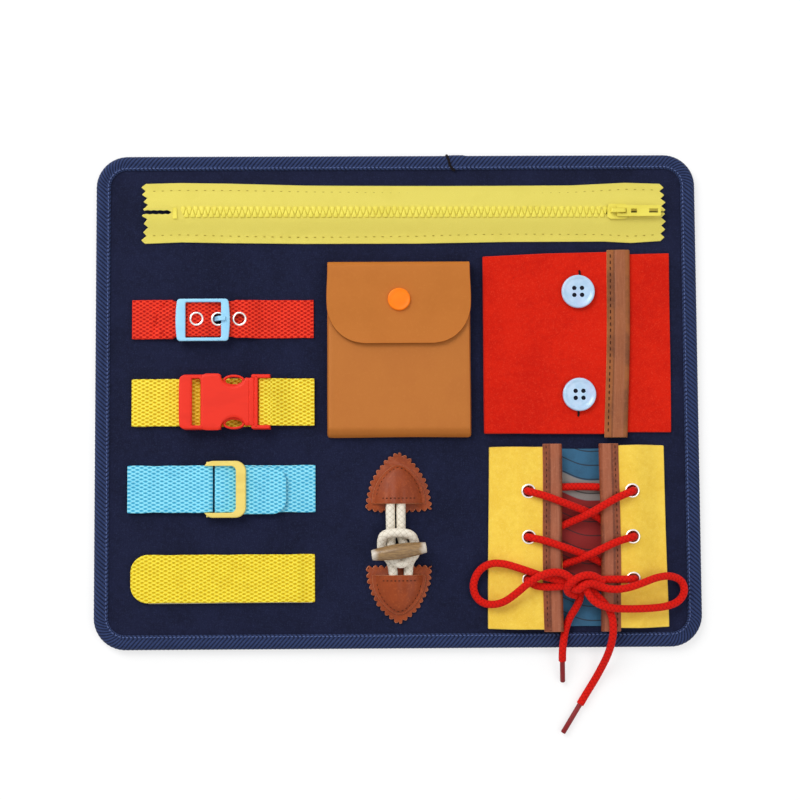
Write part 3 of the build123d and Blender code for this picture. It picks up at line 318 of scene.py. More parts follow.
@dataclass(frozen=True)
class FlatWeave:
    """Thin woven tape or thread: fine slanting ribs that change direction every few millimetres, with painted shade in
    the grooves between them and a painted highlight on cut edges.
    """

    name: str
    base: Colour
    # groove: painted shade colour of the grooves between ribs
    groove: Colour
    # light: paler flecks, and the painted highlight on cut edges
    light: Colour
    pitch: float = 0.55
    band: float = 2.4
    strength: float = 0.5
    slope: float = 1.1

    def build(self) -> bpy.types.Material:
        """The finish as a material."""
        shade = Shader(self.name)
        along, across = shade.strip()
        place = shade.place()
        zigzag = ((across / (2 * self.band)).fraction() * 2.0 - 1.0).size() * self.band
        rib = ((along + zigzag * self.slope) * (2 * math.pi / self.pitch)).sin() * 0.5 + 0.5
        fine = shade.noise(place, 2.4, 3.0, 0.65)
        cloud = shade.noise(place, 0.09, 3.0)
        # painted shade in the grooves between ribs
        tone = shade.blend(rib.step(0.0, 0.75), self.groove, self.base)
        tone = shade.blend(1.0 - self.strength, tone, self.base) if self.strength < 1 else tone
        tone = shade.blend(fine.step(0.5, 0.8) * 0.4, tone, self.light)
        # random darker clouds in the groove shade colour
        tone = shade.blend(cloud.step(0.5, 0.75) * 0.22, tone, self.groove)
        # painted highlight on cut edges
        tone = shade.blend(shade.rim() * 0.5, tone, self.light)
        raised = shade.bump(rib * 0.6 + fine * 0.4, 0.12)
        return shade.finish(
            base_color=tone, roughness=0.9 - 0.1 * fine, normal=raised, sheen_weight=0.03, specular_ior_level=0.15
        )


@dataclass(frozen=True)
class Leather:
    """Smooth leather: shallow pebbled grain, soft clouds of colour and a paler raw edge."""

    name: str
    base: Colour
    deep: Colour
    pale: Colour
    edge: Colour
    grain: float = 1.3
    relief: float = 0.05
    shine: float = 0.45

    def build(self) -> bpy.types.Material:
        """The finish as a material."""
        shade = Shader(self.name)
        place = shade.place()
        pebbles = shade.cells(place, self.grain)
        cloud = shade.noise(place, 0.06, 3.0, 0.55)
        crease = shade.noise(place, 0.7, 5.0, 0.62)
        tone = shade.blend(cloud.step(0.4, 0.68) * 0.7, self.base, self.deep)
        tone = shade.blend(crease.step(0.5, 0.72) * 0.45, tone, self.pale)
        tone = shade.blend(pebbles.step(0.25, 0.6) * 0.12, tone, self.deep)
        tone = shade.blend(shade.rim().step(0.3, 0.9), tone, self.edge)
        raised = shade.bump(pebbles * 0.6 + crease * 0.7, self.relief)
        rough = self.shine + 0.16 * crease + 0.06 * pebbles
        return shade.finish(base_color=tone, roughness=rough, normal=raised, specular_ior_level=0.25)


@dataclass(frozen=True)
class FoldedLeather:
    """Leather strip, sewn flat on one side and folded over an edge on the other; the raised fold carries painted sheen
    with glossy highlight streaks along it, and the groove beside it painted shade.
    """

    name: str
    base: Colour
    # deep: darker clouds, and the painted shade of the groove
    deep: Colour
    # fold: painted sheen colour of the raised fold
    fold: Colour
    # streak: painted highlight colour of the glossy streaks along the fold
    streak: Colour
    # edge: pale raw edge, which also acts as a painted edge highlight
    edge: Colour
    span: tuple[float, float]

    def build(self) -> bpy.types.Material:
        """The finish as a material."""
        shade = Shader(self.name)
        place = shade.place()
        across, _ = shade.strip()
        low, high = self.span
        # where the painted sheen of the raised fold lies
        folded = across.step(low, low + 0.9) * (1.0 - across.step(high - 1.3, high - 0.3))
        # where the painted shade of the groove beside the fold lies
        groove = across.step(low - 1.1, low - 0.2) * (1.0 - across.step(low + 0.1, low + 0.7))
        cloud = shade.noise(place, 0.07, 3.0, 0.55)
        crease = shade.noise(place, 0.8, 5.0, 0.62)
        sheen_streaks = shade.noise(shade.stretched(place, (1.7, 0.1, 1.0)), 0.9, 3.0, 0.6)
        tone = shade.blend(cloud.step(0.4, 0.68) * 0.7, self.base, self.deep)
        # painted sheen on the raised fold, with painted highlight streaks along it
        tone = shade.blend(folded * 0.7, tone, self.fold)
        tone = shade.blend(folded * sheen_streaks.step(0.4, 0.75) * 0.3, tone, self.streak)
        # painted shade in the groove
        tone = shade.blend(groove * 0.6, tone, self.deep)
        # random pale creases in the streak colour
        tone = shade.blend(crease.step(0.5, 0.72) * 0.25, tone, self.streak)
        # pale raw edge, partly a painted edge highlight
        tone = shade.blend(shade.rim().step(0.3, 0.9), tone, self.edge)
        raised = shade.bump(crease * 0.7 + sheen_streaks * 0.4, 0.05)
        return shade.finish(base_color=tone, roughness=0.4 + 0.15 * crease, normal=raised, specular_ior_level=0.3)


@dataclass(frozen=True)
class Moulded:
    """Moulded plastic: a clear even colour with faint flow marks and fine handling wear."""

    name: str
    base: Colour
    deep: Colour
    gloss: float = 0.32
    coat: float = 0.15
    mirror: float = 0.5

    def build(self) -> bpy.types.Material:
        """The finish as a material."""
        shade = Shader(self.name)
        place = shade.place()
        flow = shade.noise(shade.stretched(place, (0.5, 1.6, 1.0)), 0.12, 3.0)
        speck = shade.noise(place, 3.0, 3.0, 0.6)
        tone = shade.blend(flow.step(0.42, 0.7) * 0.35, self.base, self.deep)
        rough = self.gloss + 0.16 * flow + 0.05 * speck
        raised = shade.bump(flow * 0.5 + speck * 0.15, 0.05)
        return shade.finish(
            base_color=tone, roughness=rough, normal=raised, coat_weight=self.coat, coat_roughness=0.25,
            specular_ior_level=self.mirror
        )


@dataclass(frozen=True)
class Metal:
    """Plated metal with fine rubbed scratches."""

    name: str
    base: Colour
    rough: float = 0.22

    def build(self) -> bpy.types.Material:
        """The finish as a material."""
        shade = Shader(self.name)
        place = shade.place()
        scratch = shade.noise(shade.stretched(place, (6.0, 1.0, 1.0)), 1.3, 4.0, 0.7)
        cloud = shade.noise(place, 0.5, 2.0)
        tone = shade.blend(cloud.step(0.4, 0.8) * 0.25, self.base, tuple(0.7 * value for value in self.base))
        return shade.finish(
            base_color=tone, metallic=1.0, roughness=self.rough + 0.2 * scratch, normal=shade.bump(scratch, 0.02)
        )


@dataclass(frozen=True)
class Braid:
    """Round braided cord: plaited strands crossing both ways round it, with painted shade where they dip under each
    other.
    """

    name: str
    base: Colour
    # groove: painted shade colour where strands dip under each other
    groove: Colour
    light: Colour
    pitch: float = 2.6
    strands: int = 4
    around: float = 12.6

    def build(self) -> bpy.types.Material:
        """The finish as a material."""
        shade = Shader(self.name)
        along, across = shade.strip()
        turn = across * (2 * math.pi * self.strands / (2 * self.around))
        climb = along * (math.pi / self.pitch)
        right, left = (climb + turn).sin().size(), (climb - turn).sin().size()
        plait = (right * left) ** 0.5
        fine = shade.noise(shade.place(), 2.6, 4.0, 0.7)
        # painted shade where the strands dip under each other
        tone = shade.blend(plait.step(0.05, 0.6), self.groove, self.base)
        tone = shade.blend(fine.step(0.48, 0.75) * 0.5, tone, self.light)
        raised = shade.bump(plait * 0.8 + fine * 0.4, 0.22)
        return shade.finish(
            base_color=tone, roughness=0.88 - 0.1 * plait, normal=raised, sheen_weight=0.03, specular_ior_level=0.15
        )


@dataclass(frozen=True)
class Pearl:
    """Pressed button stock: pale blue with soft swirls and a lilac cast."""

    name: str
    base: Colour
    swirl: Colour
    lilac: Colour

    def build(self) -> bpy.types.Material:
        """The finish as a material."""
        shade = Shader(self.name)
        place = shade.place()
        drift = shade.noise(place, 0.25, 4.0, 0.6)
        cloud = shade.noise(place, 0.11, 2.0)
        tone = shade.blend(drift.step(0.4, 0.65) * 0.6, self.base, self.swirl)
        tone = shade.blend(cloud.step(0.45, 0.7) * 0.5, tone, self.lilac)
        return shade.finish(
            base_color=tone, roughness=0.22 + 0.15 * drift, normal=shade.bump(drift, 0.04), coat_weight=0.35
        )


@dataclass(frozen=True)
class Horn:
    """Polished toggle stock: long streaks, dark in the middle and pale at both cut ends."""

    name: str
    middle: Colour
    streak: Colour
    end: Colour
    length: float

    def build(self) -> bpy.types.Material:
        """The finish as a material."""
        shade = Shader(self.name)
        along, _ = shade.strip()
        place = shade.place()
        streaks = shade.noise(shade.stretched(place, (0.22, 1.5, 1.5)), 0.9, 5.0, 0.65)
        cloud = shade.noise(place, 0.18, 3.0)
        reach = ((along / self.length) * 2.0 - 1.0).size() + (cloud - 0.5) * 0.35
        tone = shade.blend(streaks.step(0.42, 0.62) * 0.7, self.middle, self.streak)
        tone = shade.blend(reach.step(0.72, 0.98) * 0.85, tone, self.end)
        return shade.finish(
            base_color=tone, roughness=0.3 + 0.2 * streaks, normal=shade.bump(streaks, 0.06), coat_weight=0.2
        )


@dataclass(frozen=True)
class Print:
    """Printed cloth: plain slanting bands and thin lines on a mottled ground, of no particular design."""

    name: str
    ground: Colour
    band: Colour
    accent: Colour
    line: Colour

    def build(self) -> bpy.types.Material:
        """The finish as a material."""
        shade = Shader(self.name)
        place = shade.place()
        x, y, _ = shade.parts(place)
        weave = shade.noise(place, 1.6, 4.0, 0.6)
        cloud = shade.noise(place, 0.16, 3.0)
        height = y + x * 0.22 - 21.0 + (x * 0.21).sin() * 1.2
        band = height.step(-52.2, -51.6) * (1.0 - height.step(-41.6, -41.0))
        accent = height.step(-100.2, -99.6) * (1.0 - height.step(-52.2, -51.6))
        stripe = (height / 7.4).fraction()
        lines = (stripe - 0.5).size() * 7.4
        tone = shade.blend(cloud.step(0.4, 0.7) * 0.5, self.ground, tuple(0.6 * value for value in self.ground))
        tone = shade.blend(band, tone, self.band)
        tone = shade.blend(accent, tone, self.accent)
        tone = shade.blend((1.0 - lines.step(0.22, 0.42)) * 0.8, tone, self.line)
        tone = shade.blend(weave.step(0.5, 0.8) * 0.25, tone, self.line)
        return shade.finish(base_color=tone, roughness=0.7 + 0.15 * weave, normal=shade.bump(weave, 0.06))


NAVY_FELT = Felt("navy_felt", rgb(24, 28, 54), rgb(15, 18, 38), rgb(44, 52, 84), 0.7, 0.14, 0.5)
RED_FELT = Felt("red_felt", rgb(210, 30, 8), rgb(188, 18, 5), rgb(232, 66, 40), 0.7, 0.24, 0.0, 0.6)
YELLOW_FELT = Felt("yellow_felt", rgb(242, 206, 80), rgb(228, 184, 58), rgb(250, 228, 132), 0.65, 0.2, 0.0, 0.45)
# Flat weaves: the second colour is the painted shade of the grooves, the third the paler flecks and painted edge
# highlight
BINDING = FlatWeave("binding_weave", rgb(44, 58, 98), rgb(17, 22, 46), rgb(88, 104, 150), 2.33, 9.2, 1.0, -0.85)
ZIP_TAPE = FlatWeave("zip_tape_weave", rgb(228, 214, 102), rgb(214, 198, 84), rgb(238, 228, 136), 0.5, 1.6, 0.5)
ZIP_PLASTIC = Moulded("zip_plastic", rgb(230, 216, 86), rgb(208, 190, 56), 0.42, 0.05, 0.3)
# Webbing colours: thread, painted shade of the gaps, painted highlight of the thread crowns
RED_WEBBING = Webbing("red_webbing", rgb(222, 24, 8), rgb(140, 10, 4), rgb(244, 70, 42), 3.5, 2.1, 0.8)
YELLOW_WEBBING = Webbing("yellow_webbing", rgb(238, 208, 22), rgb(190, 140, 4), rgb(252, 236, 92))
BLUE_WEBBING = Webbing("blue_webbing", rgb(96, 202, 232), rgb(30, 140, 190), rgb(160, 232, 250), 4.3)
TAB_WEBBING = Webbing("tab_webbing", rgb(236, 208, 16), rgb(192, 146, 4), rgb(250, 232, 84), 4.1, 2.05, 0.75)
BUCKLE_BLUE = Moulded("belt_buckle_plastic", rgb(148, 208, 240), rgb(124, 190, 232), 0.3)
CLIP_PLASTIC = Moulded("clip_plastic", rgb(228, 40, 14), rgb(212, 32, 10), 0.4, 0.0, 0.3)
SLIDE_PLASTIC = Moulded("slide_plastic", rgb(232, 208, 108), rgb(208, 178, 74), 0.32, 0.1, 0.4)
HOOK_TAPE = Felt("hook_tape", rgb(214, 206, 168), rgb(190, 180, 140), rgb(236, 230, 206), 0.5, 0.3, 0.3)
PALE_BOARD = Felt("pale_board", rgb(214, 212, 205), rgb(196, 194, 186), rgb(228, 227, 222), 0.4, 0.05)
TAN_LEATHER = Leather("tan_leather", rgb(182, 106, 34), rgb(177, 102, 30), rgb(188, 114, 44), rgb(140, 76, 22), 1.3,
                      0.02)
TAN_FRONT = Leather("tan_leather_front", rgb(180, 107, 40), rgb(176, 103, 38), rgb(186, 114, 50), rgb(140, 76, 22),
                    1.3, 0.02)
# Folded leather: base, deep with the groove's painted shade, painted fold sheen, painted highlight streaks, pale edge
# that is also a painted highlight
STRIP_LEATHER = FoldedLeather(
    "strip_leather", rgb(148, 84, 36), rgb(92, 44, 16), rgb(146, 82, 50), rgb(178, 112, 76), rgb(206, 146, 92),
    (114.7, 121.2)
)
EDGING_LEATHER = FoldedLeather(
    "edging_leather", rgb(134, 66, 34), rgb(88, 38, 18), rgb(160, 90, 60), rgb(192, 124, 92), rgb(206, 136, 98),
    (-5.9, -0.3)
)
RUSSET_LEATHER = Leather(
    "russet_leather", rgb(146, 62, 20), rgb(118, 46, 14), rgb(178, 90, 42), rgb(196, 122, 84), 1.0, 0.07, 0.34
)
SNAP_ORANGE = Moulded("snap_plastic", rgb(252, 126, 2), rgb(240, 110, 0), 0.34, 0.0, 0.25)
SNAP_STEEL = Metal("snap_steel", rgb(196, 196, 192), 0.28)
EYELET = Metal("eyelet_plate", rgb(226, 224, 220), 0.16)
BUTTON = Pearl("button_blue", rgb(168, 200, 228), rgb(192, 216, 240), rgb(186, 192, 228))
# Threads: the second colour is the painted shade of the grooves between their ribs
BLUE_STITCH = FlatWeave("binding_stitch", rgb(92, 108, 156), rgb(60, 74, 116), rgb(136, 150, 192), 0.8)
ZIP_STITCH = FlatWeave("zip_stitch", rgb(172, 148, 48), rgb(140, 118, 32), rgb(196, 172, 72), 0.8)
DARK_STITCH = FlatWeave("dark_stitch", rgb(62, 26, 12), rgb(38, 14, 6), rgb(98, 48, 26), 0.8)
# dark thread, also used as painted shade: the notch at the binding's lap and the buttonhole slits
DARK_THREAD_AND_SHADE = FlatWeave("black_thread_and_shade", rgb(18, 12, 16), rgb(10, 6, 8), rgb(40, 28, 32), 0.8)
# Braids: the second colour is the painted shade where strands dip
CREAM_CORD = Braid("cream_cord", rgb(234, 226, 210), rgb(204, 194, 176), rgb(250, 246, 238), 3.0, 4, 15.7)
HORN = Horn("toggle_horn", rgb(146, 114, 70), rgb(96, 68, 36), rgb(208, 200, 188), 28.7)
PICTURE = Print("picture_cloth", rgb(38, 92, 126), rgb(134, 128, 124), rgb(134, 16, 14), rgb(18, 16, 22))
# painted shade in the lace's dips, as for the cord
LACE = Braid("red_lace", rgb(212, 18, 6), rgb(166, 8, 3), rgb(230, 46, 30), 2.2, 4, 12.6)
AGLET = Moulded("aglet_plastic", rgb(128, 12, 18), rgb(98, 6, 12), 0.3, 0.05, 0.3)
# painted shade for the holes of the buttons
HOLE_SHADE = Felt("painted_hole_shade", rgb(20, 22, 34), rgb(10, 10, 18), rgb(40, 44, 58), 0.5, 0.05)


@cache
def made(finish: object) -> bpy.types.Material:
    """The material of a finish, built once."""
    return finish.build()


# ------------------------------------------------------------------ surfaces
@dataclass
class Surface:
    """Points in millimetres with faces, strip coordinates at each face corner and a rim mark per point."""

    points: Array
    faces: list[Array]
    strip: list[Array]
    rim: Array

    def __add__(self, other: "Surface") -> "Surface":
        """Both surfaces in one mesh."""
        shift = len(self.points)
        return Surface(
            np.vstack([self.points, other.points]),
            self.faces + [faces + shift for faces in other.faces],
            self.strip + other.strip,
            np.concatenate([self.rim, other.rim]),
        )

    def mesh(self, name: str, angle: float) -> bpy.types.Object:
        """The surface as an object in metres at the origin, smooth below this angle between faces in degrees."""
        data = bpy.data.meshes.new(name)
        loops = np.concatenate([faces.ravel() for faces in self.faces]).astype(np.int32)
        widths = np.concatenate([np.full(len(faces), faces.shape[1]) for faces in self.faces])
        starts = np.concatenate([[0], np.cumsum(widths)[:-1]]).astype(np.int32)
        data.vertices.add(len(self.points))
        data.vertices.foreach_set("co", (self.points * MM).astype(np.float32).ravel())
        data.loops.add(len(loops))
        data.loops.foreach_set("vertex_index", loops)
        data.polygons.add(len(starts))
        data.polygons.foreach_set("loop_start", starts)
        data.update(calc_edges=True)
        strip = data.uv_layers.new(name="strip")
        strip.data.foreach_set("uv", np.vstack([s.reshape(-1, 2) for s in self.strip]).astype(np.float32).ravel())
        rim = data.attributes.new("rim", "FLOAT", "POINT")
        rim.data.foreach_set("value", self.rim.astype(np.float32))
        data.shade_smooth()
        data.set_sharp_from_angle(angle=math.radians(angle))
        made_object = bpy.data.objects.new(name, data)
        bpy.context.scene.collection.objects.link(made_object)
        return made_object


def unit(vectors: Array) -> Array:
    """Vectors scaled to length 1."""
    return vectors / np.maximum(np.linalg.norm(vectors, axis=-1, keepdims=True), 1e-9)


def lattice(m: int, n: int, wrap_u: bool, wrap_v: bool, flip: bool) -> tuple[Array, Array]:
    """Row and column numbers of the four corners of each face of a grid, before they wrap."""
    i, j = np.meshgrid(np.arange(m - (not wrap_u)), np.arange(n - (not wrap_v)), indexing="ij")
    a = np.stack([i, i + 1, i + 1, i], -1).reshape(-1, 4)
    b = np.stack([j, j, j + 1, j + 1], -1).reshape(-1, 4)
    return (a[:, ::-1], b[:, ::-1]) if flip else (a, b)


def grid(points: Array, along: Array, across: Array, wrap_u: bool = False, wrap_v: bool = False, flip: bool = False,
         rim: Array | None = None) -> Surface:
    """Surface over a grid of points.

    Args:
        points: (m, n, 3) points in millimetres.
        along: strip length per row, one more than m where the rows wrap.
        across: strip width per column, one more than n where the columns wrap.
        wrap_u: whether the last row joins the first.
        wrap_v: whether the last column joins the first.
        flip: turns the faces over.
        rim: (m, n) rim marks.

    Returns:
        The grid's surface, facing rows cross columns.
    """
    m, n = points.shape[:2]
    a, b = lattice(m, n, wrap_u, wrap_v, flip)
    marks = np.zeros(m * n) if rim is None else rim.ravel()
    return Surface(points.reshape(-1, 3), [(a % m) * n + b % n], [np.stack([along[a], across[b]], -1)], marks)


def slab(middle: Array, thickness: float, along: Array, across: Array, relief: Array | float = 0.0,
         keep: Array | None = None, bulge: float = 0.24) -> Surface:
    """Closed sheet of even thickness with rounded edges, on a middle surface.

    Each side is the middle surface moved half the thickness along its normal; edge points bow outwards between them.

    Args:
        middle: (m, n, 3) middle surface.
        thickness: sheet thickness.
        along: (m, n) strip lengths.
        across: (m, n) strip widths.
        relief: how far the upper side stands out further, per point.
        keep: (m - 1, n - 1) cells that are cloth; the others are holes.
        bulge: how far the edge bows out, as a share of the thickness.

    Returns:
        The closed surface.
    """
    m, n = middle.shape[:2]
    keep = np.ones((m - 1, n - 1), bool) if keep is None else keep
    normal = unit(np.cross(np.gradient(middle, axis=0), np.gradient(middle, axis=1)))
    half = thickness / 2
    upper = middle + normal * (half + np.broadcast_to(relief, (m, n)))[..., None]
    lower = middle - normal * half
    count = m * n
    a, b = lattice(m, n, False, False, False)
    chosen = keep.ravel()
    cells = (a * n + b)[chosen]
    around = np.pad(keep, 1)
    open_sides = [~around[1:-1, :-2], ~around[2:, 1:-1], ~around[1:-1, 2:], ~around[:-2, 1:-1]]
    corner = (a * n + b).reshape(m - 1, n - 1, 4)
    edges = np.vstack(
        [corner[keep & side][:, [k, (k + 1) % 4]] for k, side in enumerate(open_sides)]
    )
    flat_middle, flat_normal = middle.reshape(-1, 3), normal.reshape(-1, 3)
    run = flat_middle[edges[:, 1]] - flat_middle[edges[:, 0]]
    side_out = unit(np.cross(run, flat_normal[edges[:, 0]]))
    outward = np.zeros((count, 3))
    np.add.at(outward, edges[:, 0], side_out)
    np.add.at(outward, edges[:, 1], side_out)
    outward = unit(outward)
    border = np.unique(edges)
    place = np.full(count, -1)
    place[border] = np.arange(len(border))
    bows = ((0.8, 0.62), (1.0, 0.0), (0.8, -0.62))
    rings = [
        flat_middle[border] + outward[border] * thickness * bulge * out + flat_normal[border] * half * rise
        for out, rise in bows
    ]
    rows = [edges] + [place[edges] + 2 * count + k * len(border) for k in range(3)] + [edges + count]
    walls = [np.stack([top[:, 0], low[:, 0], low[:, 1], top[:, 1]], -1) for top, low in zip(rows, rows[1:])]
    strip = np.stack([along, across], -1).reshape(-1, 2)
    wall_strip = strip[edges[:, [0, 0, 1, 1]]]
    faces = [cells, cells[:, ::-1] + count] + walls
    marks = np.concatenate([np.zeros(2 * count), np.tile(np.ones(len(border)), 3)])
    whole = Surface(
        np.vstack([upper.reshape(-1, 3), lower.reshape(-1, 3)] + rings),
        faces,
        [strip[cells], strip[cells[:, ::-1]]] + [wall_strip] * 4,
        marks,
    )
    return whole if keep.all() else trimmed(whole)


def trimmed(surface: Surface) -> Surface:
    """The surface without points that no face uses."""
    used = np.unique(np.concatenate([faces.ravel() for faces in surface.faces]))
    number = np.full(len(surface.points), -1)
    number[used] = np.arange(len(used))
    return Surface(
        surface.points[used], [number[faces] for faces in surface.faces], surface.strip, surface.rim[used]
    )


def eased(route: Sequence[tuple[float, float]], step: float = 0.5, soft: float = 2.0) -> Array:
    """A strap's middle line: points every step along a polyline, averaged over soft to round its corners."""
    corners = np.array(route, float)
    lengths = np.concatenate([[0], np.cumsum(np.linalg.norm(np.diff(corners, axis=0), axis=1))])
    stations = np.linspace(0, lengths[-1], max(int(lengths[-1] / step) + 1, 8))
    line = np.stack([np.interp(stations, lengths, corners[:, k]) for k in range(corners.shape[1])], -1)
    reach = max(int(soft / step / 2), 1)
    window = np.hanning(2 * reach + 3)[1:-1]
    padded = np.pad(line, ((reach, reach), (0, 0)), "reflect", reflect_type="odd")
    return np.stack([np.convolve(padded[:, k], window / window.sum(), "valid") for k in range(line.shape[1])], -1)


def gaps(along: Array, across: Array, pitch: float, rows: float) -> Array:
    """How near each place is to a gap of webbing: 1 at staggered points, falling to 0 between them."""
    u, v = along * math.pi / pitch, across * math.pi / rows
    return np.maximum(np.abs(np.cos(u) * np.cos(v)), np.abs(np.sin(u) * np.sin(v)))


def ribbon(line: Array, across: Sequence[float], half: Array | float, thickness: float, weave: Webbing | None = None,
           keep: Callable[[Array, Array], Array] | None = None, columns: int = 44, wander: float = 0.0,
           lift: Callable[[Array, Array], Array] | None = None, bulge: float = 0.24) -> Surface:
    """A strap: its middle line carried sideways, with the relief of its weave.

    Args:
        line: (m, 3) middle line in millimetres.
        across: unit vector across the strap.
        half: half width, one number or one per station.
        thickness: strap thickness.
        weave: webbing whose gaps dent the upper side.
        keep: says of strip positions whether there is cloth there.
        columns: points across.
        wander: how far the edges stray from straight.
        lift: extra height at strip positions, along +Z.
        bulge: how far the edge bows out.

    Returns:
        The strap's surface.
    """
    run = np.concatenate([[0], np.cumsum(np.linalg.norm(np.diff(line, axis=0), axis=1))])
    share = np.linspace(-1, 1, columns)
    width = np.broadcast_to(half, run.shape) + wander * np.sin(run * 0.31) * np.sin(run * 0.083 + 1.0)
    along = np.broadcast_to(run[:, None], (len(run), columns)).copy()
    v = width[:, None] * share[None, :]
    middle = line[:, None, :] + v[..., None] * np.array(across, float)
    if lift is not None:
        middle = middle + lift(along, v)[..., None] * np.array([0.0, 0.0, 1.0])
    relief = 0.0 if weave is None else -0.22 * gaps(along, v, weave.pitch, weave.rows) ** 5
    cells = None
    if keep is not None:
        centre = [(g[1:, 1:] + g[:-1, 1:] + g[1:, :-1] + g[:-1, :-1]) / 4 for g in (along, v)]
        cells = keep(*centre)
    return slab(middle, thickness, along, v, relief, cells, bulge)


def level_line(route: Sequence[tuple[float, float]], y: float, soft: float = 2.0, step: float = 0.5) -> Array:
    """A route of (x, z) as points at one y."""
    line = eased(route, step, soft)
    return np.stack([line[:, 0], np.full(len(line), y), line[:, 1]], -1)


def rounded_tip(run_to_tip: Array, half: float, radius: float) -> Array:
    """Half width near a tip whose corners are arcs of this radius."""
    inside = np.clip(radius - run_to_tip, 0, radius * 0.999)
    return half - radius + np.sqrt(radius**2 - inside**2)


def circle(x: float, y: float, radius: float, count: int = 40) -> Array:
    """Outline of a circle, counterclockwise."""
    turn = np.linspace(0, 2 * math.pi, count, endpoint=False)
    return np.stack([x + radius * np.cos(turn), y + radius * np.sin(turn)], -1)


def resampled(outline: Array, count: int) -> Array:
    """A closed outline with evenly spaced points."""
    closed = np.vstack([outline, outline[:1]])
    lengths = np.concatenate([[0], np.cumsum(np.linalg.norm(np.diff(closed, axis=0), axis=1))])
    stations = np.linspace(0, lengths[-1], count, endpoint=False)
    return np.stack([np.interp(stations, lengths, closed[:, k]) for k in range(2)], -1)


def rounded_box(low: tuple[float, float], high: tuple[float, float], radius: float, count: int) -> Array:
    """Outline of a rectangle with rounded corners, counterclockwise from its lower right."""
    turn = np.linspace(0, math.pi / 2, 24)
    pieces = []
    for quarter, (cx, cy) in enumerate(
        ((high[0] - radius, low[1] + radius), (high[0] - radius, high[1] - radius),
         (low[0] + radius, high[1] - radius), (low[0] + radius, low[1] + radius))
    ):
        angle = turn + (quarter - 1) * math.pi / 2
        pieces.append(np.stack([cx + radius * np.cos(angle), cy + radius * np.sin(angle)], -1))
    return resampled(np.vstack(pieces), count)


def drawn_in(outline: Array, inset: float) -> Array:
    """A counterclockwise outline moved inwards along its normals."""
    tangent = unit(np.roll(outline, -1, axis=0) - np.roll(outline, 1, axis=0))
    return outline - np.stack([tangent[:, 1], -tangent[:, 0]], -1) * inset


def stack(outline: Array, levels: Sequence[tuple[float, float]], centre: Array | None = None) -> Surface:
    """Closed solid of rings: the outline drawn in by an inset at each height, bottom to top, capped at both ends.

    With a centre, each ring is the outline shrunk towards it by the inset as a share, which suits a notched outline.
    """
    count = len(outline)
    if centre is None:
        rings = np.stack([np.c_[drawn_in(outline, inset), np.full(count, z)] for inset, z in levels])
    else:
        rings = np.stack([np.c_[centre + (outline - centre) * (1 - share), np.full(count, z)] for share, z in levels])
    run = np.linspace(0, 1, count + 1) * np.linalg.norm(np.diff(outline, axis=0), axis=1).sum()
    rim = np.zeros(rings.shape[:2])
    rim[1:-1] = 1.0
    side = grid(rings, np.arange(len(levels)) * 1.0, run, wrap_v=True, flip=True, rim=rim)
    last = (len(levels) - 1) * count
    caps = [np.arange(count)[None, ::-1], np.arange(last, last + count)[None]]
    side.faces += caps
    side.strip += [side.points[cap][..., :2] for cap in caps]
    return side


def hoop(outer: Array, inner: Array, section: Sequence[tuple[float, float]]) -> Surface:
    """Closed ring between two outlines; its section is (share from inner to outer, height), counterclockwise."""
    rings = np.stack([np.c_[inner + (outer - inner) * share, np.full(len(outer), z)] for share, z in section])
    run = np.linspace(0, 1, len(outer) + 1) * np.linalg.norm(np.diff(outer, axis=0), axis=1).sum()
    return grid(rings, np.arange(len(section) + 1) * 1.0, run, wrap_u=True, wrap_v=True, flip=True)


def oval_section(low: float, high: float, corner: float = 0.5, count: int = 14) -> list[tuple[float, float]]:
    """A rounded section for a hoop, counterclockwise; corner is nearer 0 for a squarer one."""
    turn = np.linspace(0, 2 * math.pi, count, endpoint=False)
    c, s = np.cos(turn), np.sin(turn)
    share = 0.5 + 0.5 * np.sign(c) * np.abs(c) ** corner
    height = (low + high) / 2 + (high - low) / 2 * np.sign(s) * np.abs(s) ** corner
    return list(zip(share, height))


def carried_frames(line: Array) -> tuple[Array, Array]:
    """Two directions square to a line at each station, turned as little as possible from one to the next."""
    tangent = unit(np.gradient(line, axis=0))
    start = np.cross(tangent[0], (0.0, 0.0, 1.0))
    start = start if np.linalg.norm(start) > 0.1 else np.cross(tangent[0], (0.0, 1.0, 0.0))
    sides = [start / np.linalg.norm(start)]
    for heading in tangent[1:]:
        side = sides[-1] - heading * float(sides[-1] @ heading)
        sides.append(side / np.linalg.norm(side))
    side = np.array(sides)
    return side, np.cross(tangent, side)


def tube(line: Array, radius: Array | float, sides: int = 14,
         relief: Callable[[Array, Array], Array] | None = None) -> Surface:
    """A round tube along a line: a circle of this radius, raised by relief(run, turn), carried along it, capped."""
    side, other = carried_frames(line)
    run = np.concatenate([[0], np.cumsum(np.linalg.norm(np.diff(line, axis=0), axis=1))])
    turn = np.linspace(0, 2 * math.pi, sides, endpoint=False)
    size = np.broadcast_to(np.broadcast_to(radius, run.shape)[:, None], (len(run), sides))
    if relief is not None:
        size = size + relief(run[:, None], turn[None, :])
    ring = np.cos(turn)[None, :, None] * side[:, None, :] + np.sin(turn)[None, :, None] * other[:, None, :]
    points = line[:, None, :] + size[..., None] * ring
    across = np.linspace(0, 2 * math.pi, sides + 1) * float(np.max(radius))
    made_tube = grid(points, run, across, wrap_v=True, flip=True)
    last = (len(run) - 1) * sides
    caps = [np.arange(sides)[None, ::-1], np.arange(last, last + sides)[None]]
    made_tube.faces += caps
    made_tube.strip += [np.zeros((1, sides, 2)) + (run[end], 0.0) for end in (0, -1)]
    return made_tube


